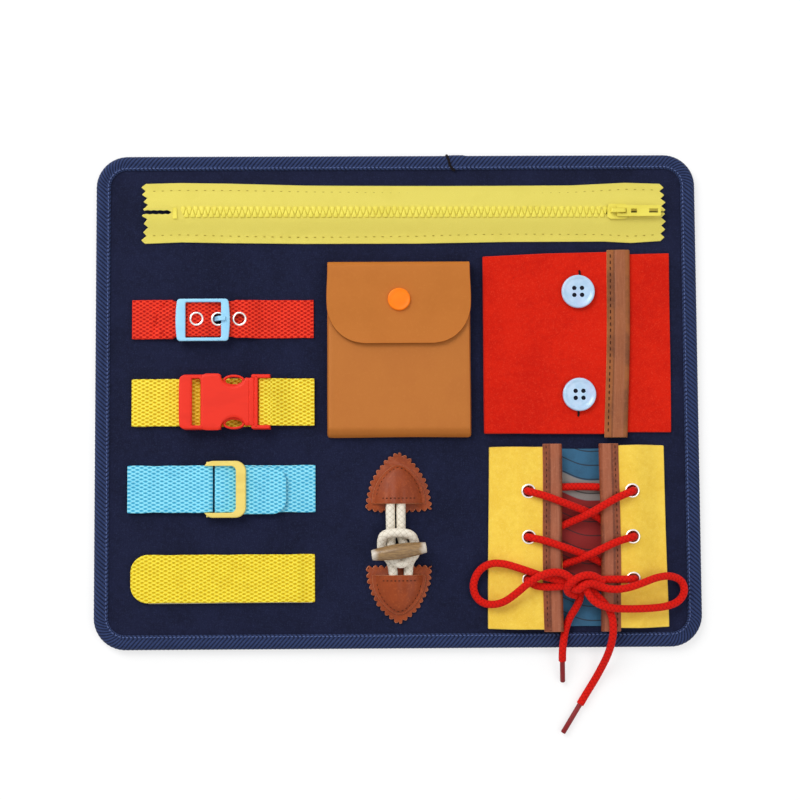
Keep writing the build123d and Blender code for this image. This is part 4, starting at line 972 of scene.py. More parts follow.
def repeated(shape: Surface, places: Array, headings: Array) -> Surface:
    """Copies of a small shape, its X turned to each heading and its Z kept up."""
    x = unit(headings)
    y = unit(np.cross((0.0, 0.0, 1.0), x))
    basis = np.stack([x, y, np.cross(x, y)], 1)
    points = places[:, None, :] + np.einsum("pc,kcd->kpd", shape.points, basis)
    count, copies = len(shape.points), len(places)
    shift = (np.arange(copies) * count)[:, None, None]
    faces = [(faces[None] + shift).reshape(-1, faces.shape[1]) for faces in shape.faces]
    strip = [np.tile(strip, (copies, 1, 1)) for strip in shape.strip]
    return Surface(points.reshape(-1, 3), faces, strip, np.tile(shape.rim, copies))


def stitch(length: float, radius: float) -> Surface:
    """One short rounded thread lying along X."""
    shares = np.array([-0.5, -0.42, -0.2, 0.2, 0.42, 0.5])
    line = np.stack([shares * length, np.zeros(6), -radius * np.array([0.9, 0.25, 0.0, 0.0, 0.25, 0.9])], -1)
    return tube(line, radius * np.array([0.25, 0.8, 1.0, 1.0, 0.8, 0.25]), 6)


def seam(route: Array, pitch: float, length: float, radius: float, tilt: float = 0.0) -> Surface:
    """Stitches along a line at an even pitch, each turned by tilt degrees from it."""
    run = np.concatenate([[0], np.cumsum(np.linalg.norm(np.diff(route, axis=0), axis=1))])
    stations = np.arange(pitch / 2, run[-1], pitch)
    place = np.stack([np.interp(stations, run, route[:, k]) for k in range(3)], -1)
    ahead = np.stack([np.interp(stations + 0.3, run, route[:, k]) for k in range(3)], -1)
    heading = unit(ahead - place + 1e-9)
    c, s = math.cos(math.radians(tilt)), math.sin(math.radians(tilt))
    heading = np.stack(
        [c * heading[:, 0] - s * heading[:, 1], s * heading[:, 0] + c * heading[:, 1], heading[:, 2]], -1
    )
    return repeated(stitch(length, radius), place, heading)


def swell(x: Array, y: Array, size: float, seed: float) -> Array:
    """Gentle unevenness of handled cloth: three crossed waves, between -1 and 1."""
    a = np.sin(x / size + seed) * np.cos(y / (size * 1.3) + 2 * seed)
    b = np.sin((x + 1.7 * y) / (size * 1.9) + 3 * seed)
    return (a + 0.7 * b + 0.5 * np.cos((2.1 * x - y) / (size * 0.8) - seed)) / 2.2


def panel(corners: Sequence[tuple[float, float]], z: float, thickness: float, cells: float = 1.0, wave: float = 0.15,
          seed: float = 0.3, bow: float = 0.4, lift: Callable[[Array, Array], Array] | None = None,
          keep: Callable[[Array, Array], Array] | None = None) -> Surface:
    """A four-cornered sheet whose middle surface is at z: straight blends of its corners with slightly bowed edges.

    Args:
        corners: lower left, lower right, upper right and upper left.
        z: height of its middle surface.
        thickness: sheet thickness.
        cells: grid spacing.
        wave: depth of its unevenness, always downwards.
        seed: where the unevenness starts.
        bow: how far its edges wander.
        lift: extra height at (x, y).
        keep: says of (x, y) whether there is cloth there.

    Returns:
        The sheet's surface.
    """
    c = np.array(corners, float)
    m = int(np.ptp(c[:, 0]) / cells) + 2
    n = int(np.ptp(c[:, 1]) / cells) + 2
    s, t = np.meshgrid(np.linspace(0, 1, m), np.linspace(0, 1, n), indexing="ij")
    xy = (c[0] * ((1 - s) * (1 - t))[..., None] + c[1] * (s * (1 - t))[..., None]
          + c[2] * (s * t)[..., None] + c[3] * ((1 - s) * t)[..., None])
    x = xy[..., 0] + bow * np.sin(t * 5.0 + seed) * (2 * s - 1)
    y = xy[..., 1] + bow * np.sin(s * 6.0 + seed * 2) * (2 * t - 1)
    height = z - wave * (0.5 + 0.5 * swell(x, y, 14.0, seed))
    if lift is not None:
        height = height + lift(x, y)
    cells_kept = None
    if keep is not None:
        centre = [(g[1:, 1:] + g[:-1, 1:] + g[1:, :-1] + g[:-1, :-1]) / 4 for g in (x, y)]
        cells_kept = keep(*centre)
    return slab(np.stack([x, y, height], -1), thickness, x, y, 0.0, cells_kept)


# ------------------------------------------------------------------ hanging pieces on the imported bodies
class Row(Enum):
    """Which of two like pieces: the one nearer the zip, or the other."""

    UPPER = 1
    LOWER = -1


class Station:
    """A sub-assembly of the board: makes its pieces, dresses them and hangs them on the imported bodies."""

    def add(self, name: str, surface: Surface, finish: object, slot: str, body: str = "board",
            stands_for: Sequence[str] = (), angle: float = 40.0,
            bend: tuple[str, Sequence[float], Sequence[float]] | None = None) -> bpy.types.Object:
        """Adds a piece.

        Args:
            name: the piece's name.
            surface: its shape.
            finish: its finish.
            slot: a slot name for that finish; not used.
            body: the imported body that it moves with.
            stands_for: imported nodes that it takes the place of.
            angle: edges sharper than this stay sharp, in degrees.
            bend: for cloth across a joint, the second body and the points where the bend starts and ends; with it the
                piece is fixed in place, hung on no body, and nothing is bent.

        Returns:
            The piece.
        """
        piece = surface.mesh(name, angle)
        piece.data.materials.append(made(finish))
        if bend is not None:
            other, start, end = bend
            [v * MM for v in start]
            [v * MM for v in end]
            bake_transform(piece)
        else:
            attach(piece, body)
        if stands_for:
            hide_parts(*stands_for)
        log.info("%s: %d faces on %s", name, sum(len(faces) for faces in surface.faces), body)
        return piece

    def dress(self, finish: object, *nodes: str, softened: float = 0.0) -> None:
        """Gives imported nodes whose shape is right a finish, and their edges a radius in millimetres."""
        for node in nodes:
            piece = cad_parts[node]
            piece.data.materials.clear()
            piece.data.materials.append(made(finish))
            if softened:
                piece.modifiers.new("weld", "WELD").merge_threshold = 0.00002
                bevel = piece.modifiers.new("bevel", "BEVEL")
                bevel.width, bevel.segments, bevel.angle_limit = softened * MM, 3, math.radians(35.0)
                bevel.limit_method, bevel.use_clamp_overlap = "ANGLE", True
                piece.modifiers.new("normals", "WEIGHTED_NORMAL").keep_sharp = False
            log.info("%s: packed shape, %s", node, finish.name)


# ------------------------------------------------------------------ board
@dataclass
class Board(Station):
    """Two felts on a stiff sheet, bound all round with ribbed tape."""

    half_x: float = 160.0
    half_y: float = 131.0
    corner: float = 17.0
    face: float = 5.0
    lap_x: float = 28.0
    lap_length: float = 9.0
    rib_pitch: float = 2.33
    rib_lean: float = 0.85
    rib_turn: float = 18.4
    rib_start: float = 2.2
    rib_height: float = 0.11
    lap_height: float = 0.42

    def felt(self, z: float, thickness: float, inset: float, wave: float) -> Surface:
        """One felt: straight rows across whose ends follow the rounded corners, with a gentle unevenness."""
        w, h, r = self.half_x - inset, self.half_y - inset, max(self.corner - inset, 3.0)
        t = np.linspace(-1, 1, 190)
        y = h * np.sin(t * math.pi / 2)
        past = np.clip(np.abs(y) - (h - r), 0, r)
        half = w - r + np.sqrt(np.maximum(r * r - past * past, 0.0))
        s = np.linspace(-1, 1, 230)
        x = s[:, None] * half[None, :]
        ys = np.broadcast_to(y[None, :], x.shape)
        height = z - wave * (0.5 + 0.5 * swell(x, ys, 22.0, 0.8))
        return slab(np.stack([x, ys, height], -1), thickness, x, ys)

    def outline(self, inset: float, count: int) -> Array:
        """The board's outline drawn in by an inset."""
        box = rounded_box((-self.half_x, -self.half_y), (self.half_x, self.half_y), self.corner, count)
        return drawn_in(box, inset)

    def tape(self) -> Surface:
        """The binding: its section of (inset, height) carried round the outline, ribbed in slanting rows.

        A short lap stands a little proud where the tape's end covers its start.
        """
        section = np.array([
            (8.0, 5.0), (7.95, 5.5), (7.7, 5.8), (7.0, 5.95), (6.2, 5.85), (5.6, 5.62), (5.1, 5.75), (4.5, 6.05),
            (3.6, 6.28), (2.7, 6.25), (1.8, 5.95), (1.0, 5.35), (0.45, 4.5), (0.2, 3.5), (0.2, 2.5), (0.45, 1.5),
            (1.0, 0.75), (1.9, 0.25), (3.0, 0.05), (4.5, 0.02), (6.2, 0.0), (7.6, 0.0), (8.0, 0.3), (7.8, 0.8),
            (6.5, 0.95),
            (3.0, 1.0), (1.6, 1.4), (1.2, 2.2), (1.2, 3.6), (1.7, 4.5), (3.0, 4.95), (6.5, 4.98),
        ])
        count = 2500
        base = self.outline(0.0, count)
        rings = [np.c_[drawn_in(base, inset), np.full(count, z)] for inset, z in section]
        points = np.stack(rings)
        arc = np.concatenate([[0],
                              np.cumsum(np.linalg.norm(np.diff(np.vstack([section, section[:1]]), axis=0), axis=1))])
        run = np.linspace(0, 1, count + 1) * np.linalg.norm(np.diff(base, axis=0), axis=1).sum()
        arc = arc - self.rib_start
        zigzag = np.abs((arc[:-1] / self.rib_turn) % 1.0 * 2 - 1) * (self.rib_turn / 2)
        rib = np.sin((run[None, :-1] - self.rib_lean * zigzag[:, None]) * 2 * math.pi / self.rib_pitch)
        centre = np.c_[drawn_in(base, 4.0), np.full(count, 3.0)]
        outward = unit(points - centre[None])
        proud = np.exp(-((base[:, 0] - self.lap_x - self.lap_length / 2) / (self.lap_length / 2)) ** 8)
        proud = proud * (base[:, 1] > 100)
        visible = (section[:, 1] > 0.1) & (section[:, 0] < 7.9)
        relief = self.rib_height * rib * visible[:, None] + self.lap_height * proud[None, :] * visible[:, None]
        points = points + outward * relief[..., None]
        return grid(points, arc, run, wrap_u=True, wrap_v=True)

    def build(self) -> None:
        """Both felts, the binding, its stitching and the hidden stiffener."""
        self.add("felt_face", self.felt(self.face - 0.78, 1.5, 6.5, 0.14), NAVY_FELT, "felt_navy",
                 stands_for=["front_felt"])
        back = self.add("felt_back", self.felt(0.75, 1.4, 6.5, 0.0), NAVY_FELT, "felt_navy", stands_for=["back_felt"])
        tape = self.tape()
        tape.strip[0] = tape.strip[0][..., ::-1]
        binding = self.add("binding_tape", tape, BINDING, "binding_blue", stands_for=["edge_binding"], angle=60.0)
        edge = self.outline(6.9, 1500)
        loop = np.c_[np.vstack([edge, edge[:1]]), np.full(1501, 6.12)]
        self.add("binding_stitches", seam(loop, 2.05, 1.1, 0.3, 10.0), BLUE_STITCH, "binding_blue")
        # A thick black tube over the lap: partly the thread that tacks it, partly painted shade of the dark notch
        # there.
        lap_tack_and_shade = np.array([[-0.9, 130.9, 4.4], [-0.5, 129.9, 6.0], [0.3, 127.6, 6.45], [0.9, 125.0, 6.25],
                         [2.4, 123.0, 6.1], [3.6, 122.5, 5.9]])
        lap_tack_and_shade[:, 0] += self.lap_x
        self.add("binding_lap_thread_and_shade", tube(eased(lap_tack_and_shade, 0.3, 1.2), 0.85, 10, strands(1.6, 4, 0.5)), DARK_THREAD_AND_SHADE,
                 "binding_blue")
        self.dress(PALE_BOARD, "stiffener_sheet")


# ------------------------------------------------------------------ zip
@dataclass
class Zip(Station):
    """Two pinked tapes sewn down along their outer edges, moulded teeth, a slider and its pull."""

    chain_y: float = 99.5
    left: float = -134.8
    right: float = 143.2
    raised: float = 7.3
    low: float = 5.32
    pinking: float = 4.4
    pitch: float = 3.3
    first_tooth: float = -113.1
    slider_left: float = 112.3

    def chain_line(self, x: Array) -> Array:
        """Height of the chain across the board: a slight tilt."""
        return self.chain_y + 0.7 * (self.slider_left - x) / 226.0

    def edge(self, x: Array, row: Row) -> Array:
        """Outer edge of a tape: wavy, wider at the ends."""
        if row is Row.UPPER:
            xs, ys = (-135, -115, -88, -49, 2, 54, 94, 122, 139, 144), (115.7, 116.1, 115.7, 114.5, 114.1, 114.0,
                                                                        114.1, 115.4, 114.9, 114.6)
        else:
            xs, ys = (-135, -114, -88, -49, 11, 58, 111, 125, 143, 145), (83.7, 84.5, 83.9, 83.4, 83.3, 84.0, 84.0,
                                                                          83.2, 84.3, 84.3)
        return np.interp(x, xs, ys)

    def tape(self, row: Row) -> Surface:
        """One tape: rows from the chain to the sewn edge, raised at the chain, with zigzag ends."""
        m, n = 330, 64
        s, t = np.meshgrid(np.linspace(0, 1, m), np.linspace(0, 1, n), indexing="ij")
        notch = 2.4 * np.abs(((t * 15.8 / self.pinking + 0.35) % 1.0) * 2 - 1)
        sway = 1.0 * np.sin(t * 5.2 + 0.4 * row.value)
        x = self.left + notch + sway * 0.8 + s * (self.right - self.left - 2 * notch - sway * 0.5)
        chain = self.chain_line(x)
        gap = np.interp(x, (-135, -120.6, -119.2, -113.4, -112.6, 114, 124, 144),
                        (1.12, 1.12, 0.03, 0.03, 0.9, 1.1, 0.5, 0.4))
        gap = gap + 0.16 * np.sin(x * 1.9 + row.value) * (x < -120)
        outer = self.edge(x, row)
        inner = chain + row.value * gap
        y = inner + t * (outer - inner)
        off = np.abs(y - chain)
        fall = np.clip((off - 3.0) / 10.5, 0, 1)
        z = self.low + (self.raised - self.low) * (1 - fall * fall * (3 - 2 * fall))
        z = z + 0.16 * swell(x, y, 9.0, 1.3) * np.clip((off - 5) / 4, 0, 1) + 0.1
        middle = np.stack([x, y, z], -1)
        if row is Row.LOWER:
            middle, x, off = middle[:, ::-1], x[:, ::-1], off[:, ::-1]
        return slab(middle, 0.6, x, off)

    def teeth(self, row: Row) -> Surface:
        """One row of moulded teeth: a head over the chain line, a waist and a foot clamped on the tape."""
        half = np.array([(0.35, -1.2), (0.6, -0.75), (0.78, 0.0), (0.96, 0.7), (1.16, 1.5), (1.26, 2.2), (1.12, 2.75),
                         (0.7, 3.0)])
        outline = np.vstack([half, half[::-1] * (-1, 1)])
        tooth = stack(outline, [(0.25, -1.1), (0.0, -0.8), (0.0, 0.75), (0.18, 1.0), (0.4, 1.12)])
        count = int((self.slider_left - self.first_tooth) / self.pitch) + 1
        shift = 0.0 if row is Row.UPPER else self.pitch / 2
        x = self.first_tooth + shift + np.arange(count) * self.pitch
        if row is Row.LOWER:
            x = x[x < self.slider_left + 0.5]
        places = np.stack([x, self.chain_line(x), np.full(len(x), self.raised + 0.02)], -1)
        return repeated(tooth, places, np.tile([row.value * 1.0, 0.0, 0.0], (len(x), 1)))

    def build(self) -> None:
        """Tapes, teeth, stitching, stops, slider and pull."""
        for row, word in ((Row.UPPER, "upper"), (Row.LOWER, "lower")):
            tape = self.add(f"zip_cloth_{word}", self.tape(row), ZIP_TAPE, "zip_tape_yellow",
                            stands_for=[f"zip_tape_{word}"])
            self.add(f"zip_chain_{word}", self.teeth(row), ZIP_PLASTIC, "zip_plastic",
                     stands_for=[f"zip_teeth_{word}"], angle=35.0)
            x = np.linspace(-131.0, 138.0, 200)
            y = self.edge(x, row) - row.value * (3.7 + 0.35 * np.sin(x / 31.0))
            z = np.full(200, self.low + 0.62) + 0.16 * swell(x, y, 9.0, 1.3)
            self.add(f"zip_stitches_{word}", seam(np.stack([x, y, z], -1), 4.5, 1.3, 0.2), ZIP_STITCH,
                     "zip_tape_yellow")
        self.dress(ZIP_PLASTIC, "zip_slider", "zip_puller", "zip_end_stops", softened=0.25)


# ------------------------------------------------------------------ belt
@dataclass
class Belt(Station):
    """Red belt: a folded base strap holds the buckle, and an eyeleted tongue passes through it."""

    y: float = 43.0
    half: float = 9.6
    web: float = 1.0
    frame_left: float = -116.7
    frame_right: float = -88.1
    pivot_x: float = -103.0
    eyelets: tuple[float, ...] = (-105.8, -94.5, -83.2)

    def base(self) -> Surface:
        """The base strap: out to the bar, round it and back over itself, with a slot for the prong."""
        route = [(-140.0, 5.5), (-101.2, 5.5), (-101.2, 8.0), (-106.5, 7.9), (-111.5, 6.62), (-139.8, 6.6)]
        line = level_line(route, self.y, 1.3, 0.4)

        def cloth(along: Array, across: Array) -> Array:
            """Everywhere but the slot at the fold."""
            return ~((np.abs(across) < 1.7) & (along > 36.0) & (along < 45.5))

        def crease(along: Array, across: Array) -> Array:
            """A slanting pinch of the upper layer near its sewn end."""
            upper = along > 52
            ridge = (along - 63.5 + 0.42 * across + 0.06 * across**2 / 4) / 1.5
            branch = (along - 67.0 - 0.75 * across) / 1.3
            pinch = 0.95 * np.exp(-ridge**2) - 0.55 * np.exp(-((ridge - 1.7) ** 2))
            split = 0.6 * np.exp(-branch**2) * np.exp(-(((across - 1.5) / 3.4) ** 2))
            return (pinch + split) * upper * np.exp(-((across / 9.6) ** 8))

        half = self.half + 0.55 - 1.0 * np.clip((line[:, 0] + 119.0) / 2.0, 0, 1)
        return ribbon(line, (0, 1, 0), half, self.web, RED_WEBBING, cloth, wander=0.15, lift=crease)

    def tongue(self) -> Surface:
        """The tongue: pointed tip, up through the buckle and down to its sewn end, holed at each eyelet."""
        route = [(-126.5, 7.9), (-111.5, 7.9), (-109.6, 9.0), (-100.7, 9.0), (-98.3, 7.9), (-79.4, 7.9), (-71.5, 5.5),
                 (-44.3, 5.5)]
        line = level_line(route, self.y, 1.6, 0.4)
        tip = np.clip((line[:, 0] - line[0, 0]) / 6.0, 0, 1)
        window = np.clip((line[:, 0] + 119.0) / 2.0, 0, 1) * np.clip((-85.0 - line[:, 0]) / 2.5, 0, 1)
        half = (self.half + 0.3) * (0.3 + 0.7 * tip) - 0.75 * window
        run = np.concatenate([[0], np.cumsum(np.linalg.norm(np.diff(line, axis=0), axis=1))])
        centres = [float(np.interp(x, line[:, 0], run)) for x in self.eyelets]

        def cloth(along: Array, across: Array) -> Array:
            """Everywhere but the eyelet holes."""
            return np.all([np.hypot(along - c, across) > 2.9 for c in centres], axis=0)

        return ribbon(line, (0, 1, 0), half, self.web, RED_WEBBING, cloth, columns=50, wander=0.12)

    def frame(self) -> Surface:
        """The buckle's frame: a rounded window in a plate whose end bars bow outwards."""
        middle_y = self.y - 0.7
        low, high = (self.frame_left, middle_y - 11.2), (self.frame_right, middle_y + 11.2)
        outer = rounded_box(low, high, 1.5, 200)
        centre = (low[0] + high[0]) / 2
        bow = 0.9 * (1 - ((outer[:, 1] - middle_y) / 11.2) ** 2)
        outer[:, 0] += np.sign(outer[:, 0] - centre) * (bow - 0.9) * (np.abs(outer[:, 0] - centre) > 9)
        inner = rounded_box((low[0] + 5.2, middle_y - 9.4), (high[0] - 4.6, middle_y + 9.4), 0.7, 200)
        outer_turn = np.arctan2(outer[:, 1] - middle_y, outer[:, 0] - centre)
        match = np.argmin(np.abs(outer_turn[None, :] - np.arctan2(inner[:1, 1] - middle_y,
                                                                  inner[:1, 0] - centre)[:, None]))
        outer = np.roll(outer, -int(match), axis=0)
        return hoop(outer, inner, oval_section(9.05, 11.05, 0.42, 24))

    def eyelet_rings(self) -> Surface:
        """Eyelets: a rolled rim on a short barrel, one at each hole of the tongue."""
        heights = (9.5, 8.4, 8.4)
        rings = None
        for x, z in zip(self.eyelets, heights):
            section = [(0.0, z - 1.1), (0.25, z - 1.1), (0.3, z - 0.1), (1.0, z - 0.05), (1.0, z + 0.15),
                       (0.75, z + 0.38), (0.4, z + 0.42), (0.1, z + 0.25), (0.0, z - 0.05)]
            ring = hoop(circle(x, self.y, 3.7), circle(x, self.y, 2.72), section)
            rings = ring if rings is None else rings + ring
        return rings

    def build(self) -> None:
        """Straps, eyelets, buckle and prong."""
        self.add("belt_strap_base", self.base(), RED_WEBBING, "webbing_red", stands_for=["belt_base_strap"])
        lining = ribbon(level_line([(-90.0, 5.45), (-72.0, 5.45)], self.y), (0, 1, 0), 5.0, 0.6, RED_WEBBING)
        behind = ribbon(level_line([(-108.5, 8.68), (-103.1, 8.68)], self.y), (0, 1, 0), 2.75, 0.2, RED_WEBBING)
        self.add("belt_strap_tongue", self.tongue() + lining + behind, RED_WEBBING, "webbing_red",
                 stands_for=["belt_tongue"])
        self.add("belt_eyelet_rings", self.eyelet_rings(), EYELET, "eyelet_metal", stands_for=["belt_eyelets"])
        self.add("belt_frame", self.frame(), BUCKLE_BLUE, "buckle_blue", stands_for=["belt_buckle"], angle=50.0)
        self.dress(BUCKLE_BLUE, "belt_prong", softened=0.3)
        bar = np.array([[self.pivot_x, self.y + t, 6.7] for t in np.linspace(-11.3, 9.9, 12)])
        bar[[0, -1], 2] = 9.6
        self.add("belt_bar", tube(bar, np.full(12, 0.62), 12), BUCKLE_BLUE, "buckle_blue")


# ------------------------------------------------------------------ clip
@dataclass
class Clip(Station):
    """Side-release clip between two yellow straps."""

    y: float = -1.2
    half: float = 12.2
    web: float = 1.2
    travel: float = 15.0
    plug_end: float = -66.8
    sewn: float = -44.0
    notch: tuple[float, float, float, float] = (-86.0, 14.4, 7.0, 6.4)
    ring_centre: tuple[float, float] = (-86.0, 11.25)
    ring_radii: tuple[tuple[float, float], tuple[float, float]] = ((5.9, 3.15), (4.4, 1.9))
    crown: tuple[tuple[float, float], ...] = (
        (0.05, 12.0), (0.0, 12.3), (0.0, 12.75), (0.1, 13.0), (0.28, 13.17), (0.55, 13.29), (0.85, 13.34)
    )

    def socket_crown(self) -> Surface:
        """The socket's rounded top: a frame round the strap's slot and a waisted body with two scooped notches."""
        outer = rounded_box((-114.3, self.y - 14.0), (-101.5, self.y + 14.0), 2.4, 240)
        outer[:, 0] -= 0.35 * (1 - ((outer[:, 1] - self.y) / 14.0) ** 2) * (outer[:, 0] < -108)
        inner = rounded_box((-108.2, self.y - 12.35), (-103.0, self.y + 12.35), 0.6, 240)
        cx, cy, rx, ry = self.notch
        x = np.linspace(-102.7, -78.0, 160)
        half = np.interp(x, (-102.7, -101.8, -100.4, -94.0, -92.9, -78.0), (12.8, 14.1, 14.6, 14.6, 14.0, 12.2))
        scooped = cy - ry * np.sqrt(np.clip(1 - ((x - cx) / rx) ** 2, 0, 1))
        half = np.where(x > cx - rx, np.minimum(half, scooped), half)
        s = np.sin(np.linspace(-1, 1, 70) * math.pi / 2)
        away = half[:, None] * (1 - np.abs(s)[None, :])
        ends = np.clip((x + 102.7) / 0.9, 0, 1)[:, None]
        z = 12.85 - 0.5 * (1 - np.clip(away / 1.4, 0, 1)) ** 2 - 0.3 * (1 - ends) ** 2
        middle = np.stack([np.broadcast_to(x[:, None], z.shape), self.y + half[:, None] * s[None, :], z], -1)
        return hoop(outer, inner, oval_section(11.9, 13.15, 0.45, 20)) + slab(middle, 0.9, middle[..., 0],
                                                                              middle[..., 1])

    def plug_crown(self) -> Surface:
        """The plug's rounded top: a bar across the strap with an ear along each side of it."""
        levels = [(0.55 * inset, z) for inset, z in self.crown]
        bar = stack(rounded_box((-74.9, self.y - 13.6), (-73.2, self.y + 13.6), 0.6, 120), levels)
        lip = stack(rounded_box((-77.9, self.y - 12.6), (-75.2, self.y + 12.6), 0.7, 120), levels)
        for side in (1, -1):
            low, high = sorted((self.y + side * 12.35, self.y + side * 14.3))
            bar = bar + stack(rounded_box((-76.6, low), (-66.8, high), 0.8, 120), levels)
        return bar + lip

    def arm(self, side: int) -> Surface:
        """One sprung arm: an oval ring on a short neck from the plug."""
        turn = np.linspace(0, 2 * math.pi, 72, endpoint=False)
        centre = np.array([self.ring_centre[0], self.y + side * self.ring_centre[1]])
        ring = [centre + np.stack([rx * np.cos(turn), ry * np.sin(turn)], -1) for rx, ry in self.ring_radii]
        neck = np.array([[-78.0, side * 7.6, 9.2], [-80.0, side * 7.7, 9.2], [-82.2, side * 8.1, 9.2],
                         [-83.6, side * 8.4, 9.2]])
        neck[:, 1] += self.y
        return hoop(*ring, oval_section(7.25, 11.25, 0.5, 18)) + ribbon(neck, (0, 1, 0), 0.8, 3.6, columns=6)

    def build(self) -> None:
        """Straps and clip."""
        left = [(-140.0, 5.6), (-104.1, 5.6), (-104.1, 8.0), (-113.0, 8.0), (-119.0, 6.95), (-139.7, 6.9)]
        beneath = ribbon(level_line([(-104.0, 5.3), (-72.0, 5.3)], self.y), (0, 1, 0), 12.7, 0.4, YELLOW_WEBBING)
        strap = ribbon(level_line(left, self.y, 1.4), (0, 1, 0), self.half, self.web, YELLOW_WEBBING, wander=0.15)
        self.add("clip_webbing_left", strap + beneath,
                 YELLOW_WEBBING, "webbing_yellow", stands_for=["clip_strap_left"])
        loop = [(self.plug_end, 6.9), (-71.9, 7.0), (-72.5, 7.2), (-72.5, 10.6), (-71.0, 10.75), (self.plug_end, 10.6)]
        self.add("clip_webbing_loop",
                 ribbon(level_line(loop, self.y, 1.2, 0.35), (0, 1, 0), self.half, self.web, YELLOW_WEBBING),
                 YELLOW_WEBBING, "webbing_yellow", body="clip_plug")
        upper = level_line([(self.plug_end, 10.6), (-60.0, 8.4), (-55.5, 6.95), (self.sewn, 6.9)], self.y, 3.0)
        lower = level_line([(self.plug_end, 6.9), (-62.0, 5.65), (self.sewn, 5.6)], self.y, 3.0)
        bunch = ribbon(upper, (0, 1, 0), self.half, self.web,
                       YELLOW_WEBBING) + ribbon(lower, (0, 1, 0), self.half - 0.3, self.web, YELLOW_WEBBING)
        piece = self.add("clip_webbing_right", bunch, YELLOW_WEBBING, "webbing_yellow", stands_for=["clip_strap_right"])
        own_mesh(piece)
        self.dress(CLIP_PLASTIC, "clip_socket", "clip_plug", softened=0.5)
        self.add("clip_socket_crown", self.socket_crown(), CLIP_PLASTIC, "clip_orange", angle=60.0)
        self.add("clip_plug_crown", self.plug_crown(), CLIP_PLASTIC, "clip_orange", body="clip_plug", angle=60.0)
        for side, word in ((1, "upper"), (-1, "lower")):
            self.add(f"clip_squeeze_ring_{word}", self.arm(side), CLIP_PLASTIC, "clip_orange", body=f"clip_arm_{word}",
                     stands_for=[f"clip_arm_{word}"], angle=60.0)


# ------------------------------------------------------------------ slide strap and tab
@dataclass
class SlideStrap(Station):
    """Blue strap threaded through a yellow slide, its tip held by a hook pad."""

    y: float = -46.8
    half: float = 12.1
    web: float = 1.2
    hinge_x: float = -78.0

    def build(self) -> None:
        """Anchor strap, threaded strap, peeling tip, pads and slide."""
        anchor = [(-142.0, 5.6), (-97.7, 5.6), (-97.7, 8.6), (-101.2, 8.6), (-108.2, 6.95), (-141.8, 6.9)]
        self.add("slide_webbing_left",
                 ribbon(level_line(anchor, self.y, 1.4), (0, 1, 0), self.half, self.web, BLUE_WEBBING, wander=0.2),
                 BLUE_WEBBING, "webbing_blue", stands_for=["slide_strap_anchor"])
        threaded = [(-43.6, 5.6), (-95.5, 5.6), (-95.5, 8.6), (-92.0, 8.6), (-85.8, 7.5), (-83.0, 7.5)]
        self.add("slide_webbing_under",
                 ribbon(level_line(threaded, self.y, 1.4), (0, -1, 0), self.half, self.web, BLUE_WEBBING, wander=0.15),
                 BLUE_WEBBING, "webbing_blue", stands_for=["slide_strap_tongue"])
        line = level_line([(-83.2, 7.5), (-76.0, 8.0), (-64.0, 8.1), (-58.8, 8.5)], self.y - 0.9, 3.0)
        half = rounded_tip(line[-1, 0] - line[:, 0] + 0.02, self.half, 7.2)
        at = (self.hinge_x, self.y, 8.0)
        self.add("slide_webbing_tip", ribbon(line, (0, 1, 0), half, self.web, BLUE_WEBBING), BLUE_WEBBING,
                 "webbing_blue",
                 stands_for=["slide_strap_tip"],
                 bend=("slide_tip", (at[0] - 1.6, at[1], at[2]), (at[0] + 1.6, at[1], at[2])))
        self.dress(SLIDE_PLASTIC, "slide_buckle", softened=0.8)
        self.dress(HOOK_TAPE, "slide_hook_pad", "loop_pads", "tab_hook_tape")


@dataclass
class Tab(Station):
    """Yellow strap that peels off its hook tape from a rounded end."""

    y: float = -93.7
    half: float = 12.25
    web: float = 1.2
    hinge_x: float = -54.0

    def build(self) -> None:
        """One strap, sewn at its right end and free from its fold to its round end."""
        line = level_line([(-44.0, 5.6), (-49.0, 5.6), (-52.0, 6.8), (-54.0, 6.8), (-140.0, 6.8)], self.y, 2.4)
        half = rounded_tip(line[:, 0] - line[-1, 0] + 0.02, self.half, 8.8)
        strap = ribbon(line, (0, -1, 0), half, self.web, TAB_WEBBING, wander=0.12)
        self.add("tab_webbing", strap, TAB_WEBBING, "tab_yellow", stands_for=["tab_strap", "tab_anchor"],
                 bend=("tab", (self.hinge_x + 1.5, self.y, 6.8), (self.hinge_x - 1.8, self.y, 6.8)))
        edge = [(-131.0, self.y - self.half - 0.55), (-45.2, self.y - self.half - 0.45),
                (-45.2, self.y - self.half + 0.6), (-131.0, self.y - self.half + 0.6)]
        self.add("tab_tape_edge", panel(edge, 5.45, 0.6, 0.8, 0.0, 0.3, 0.08), HOOK_TAPE, "hook_loop")


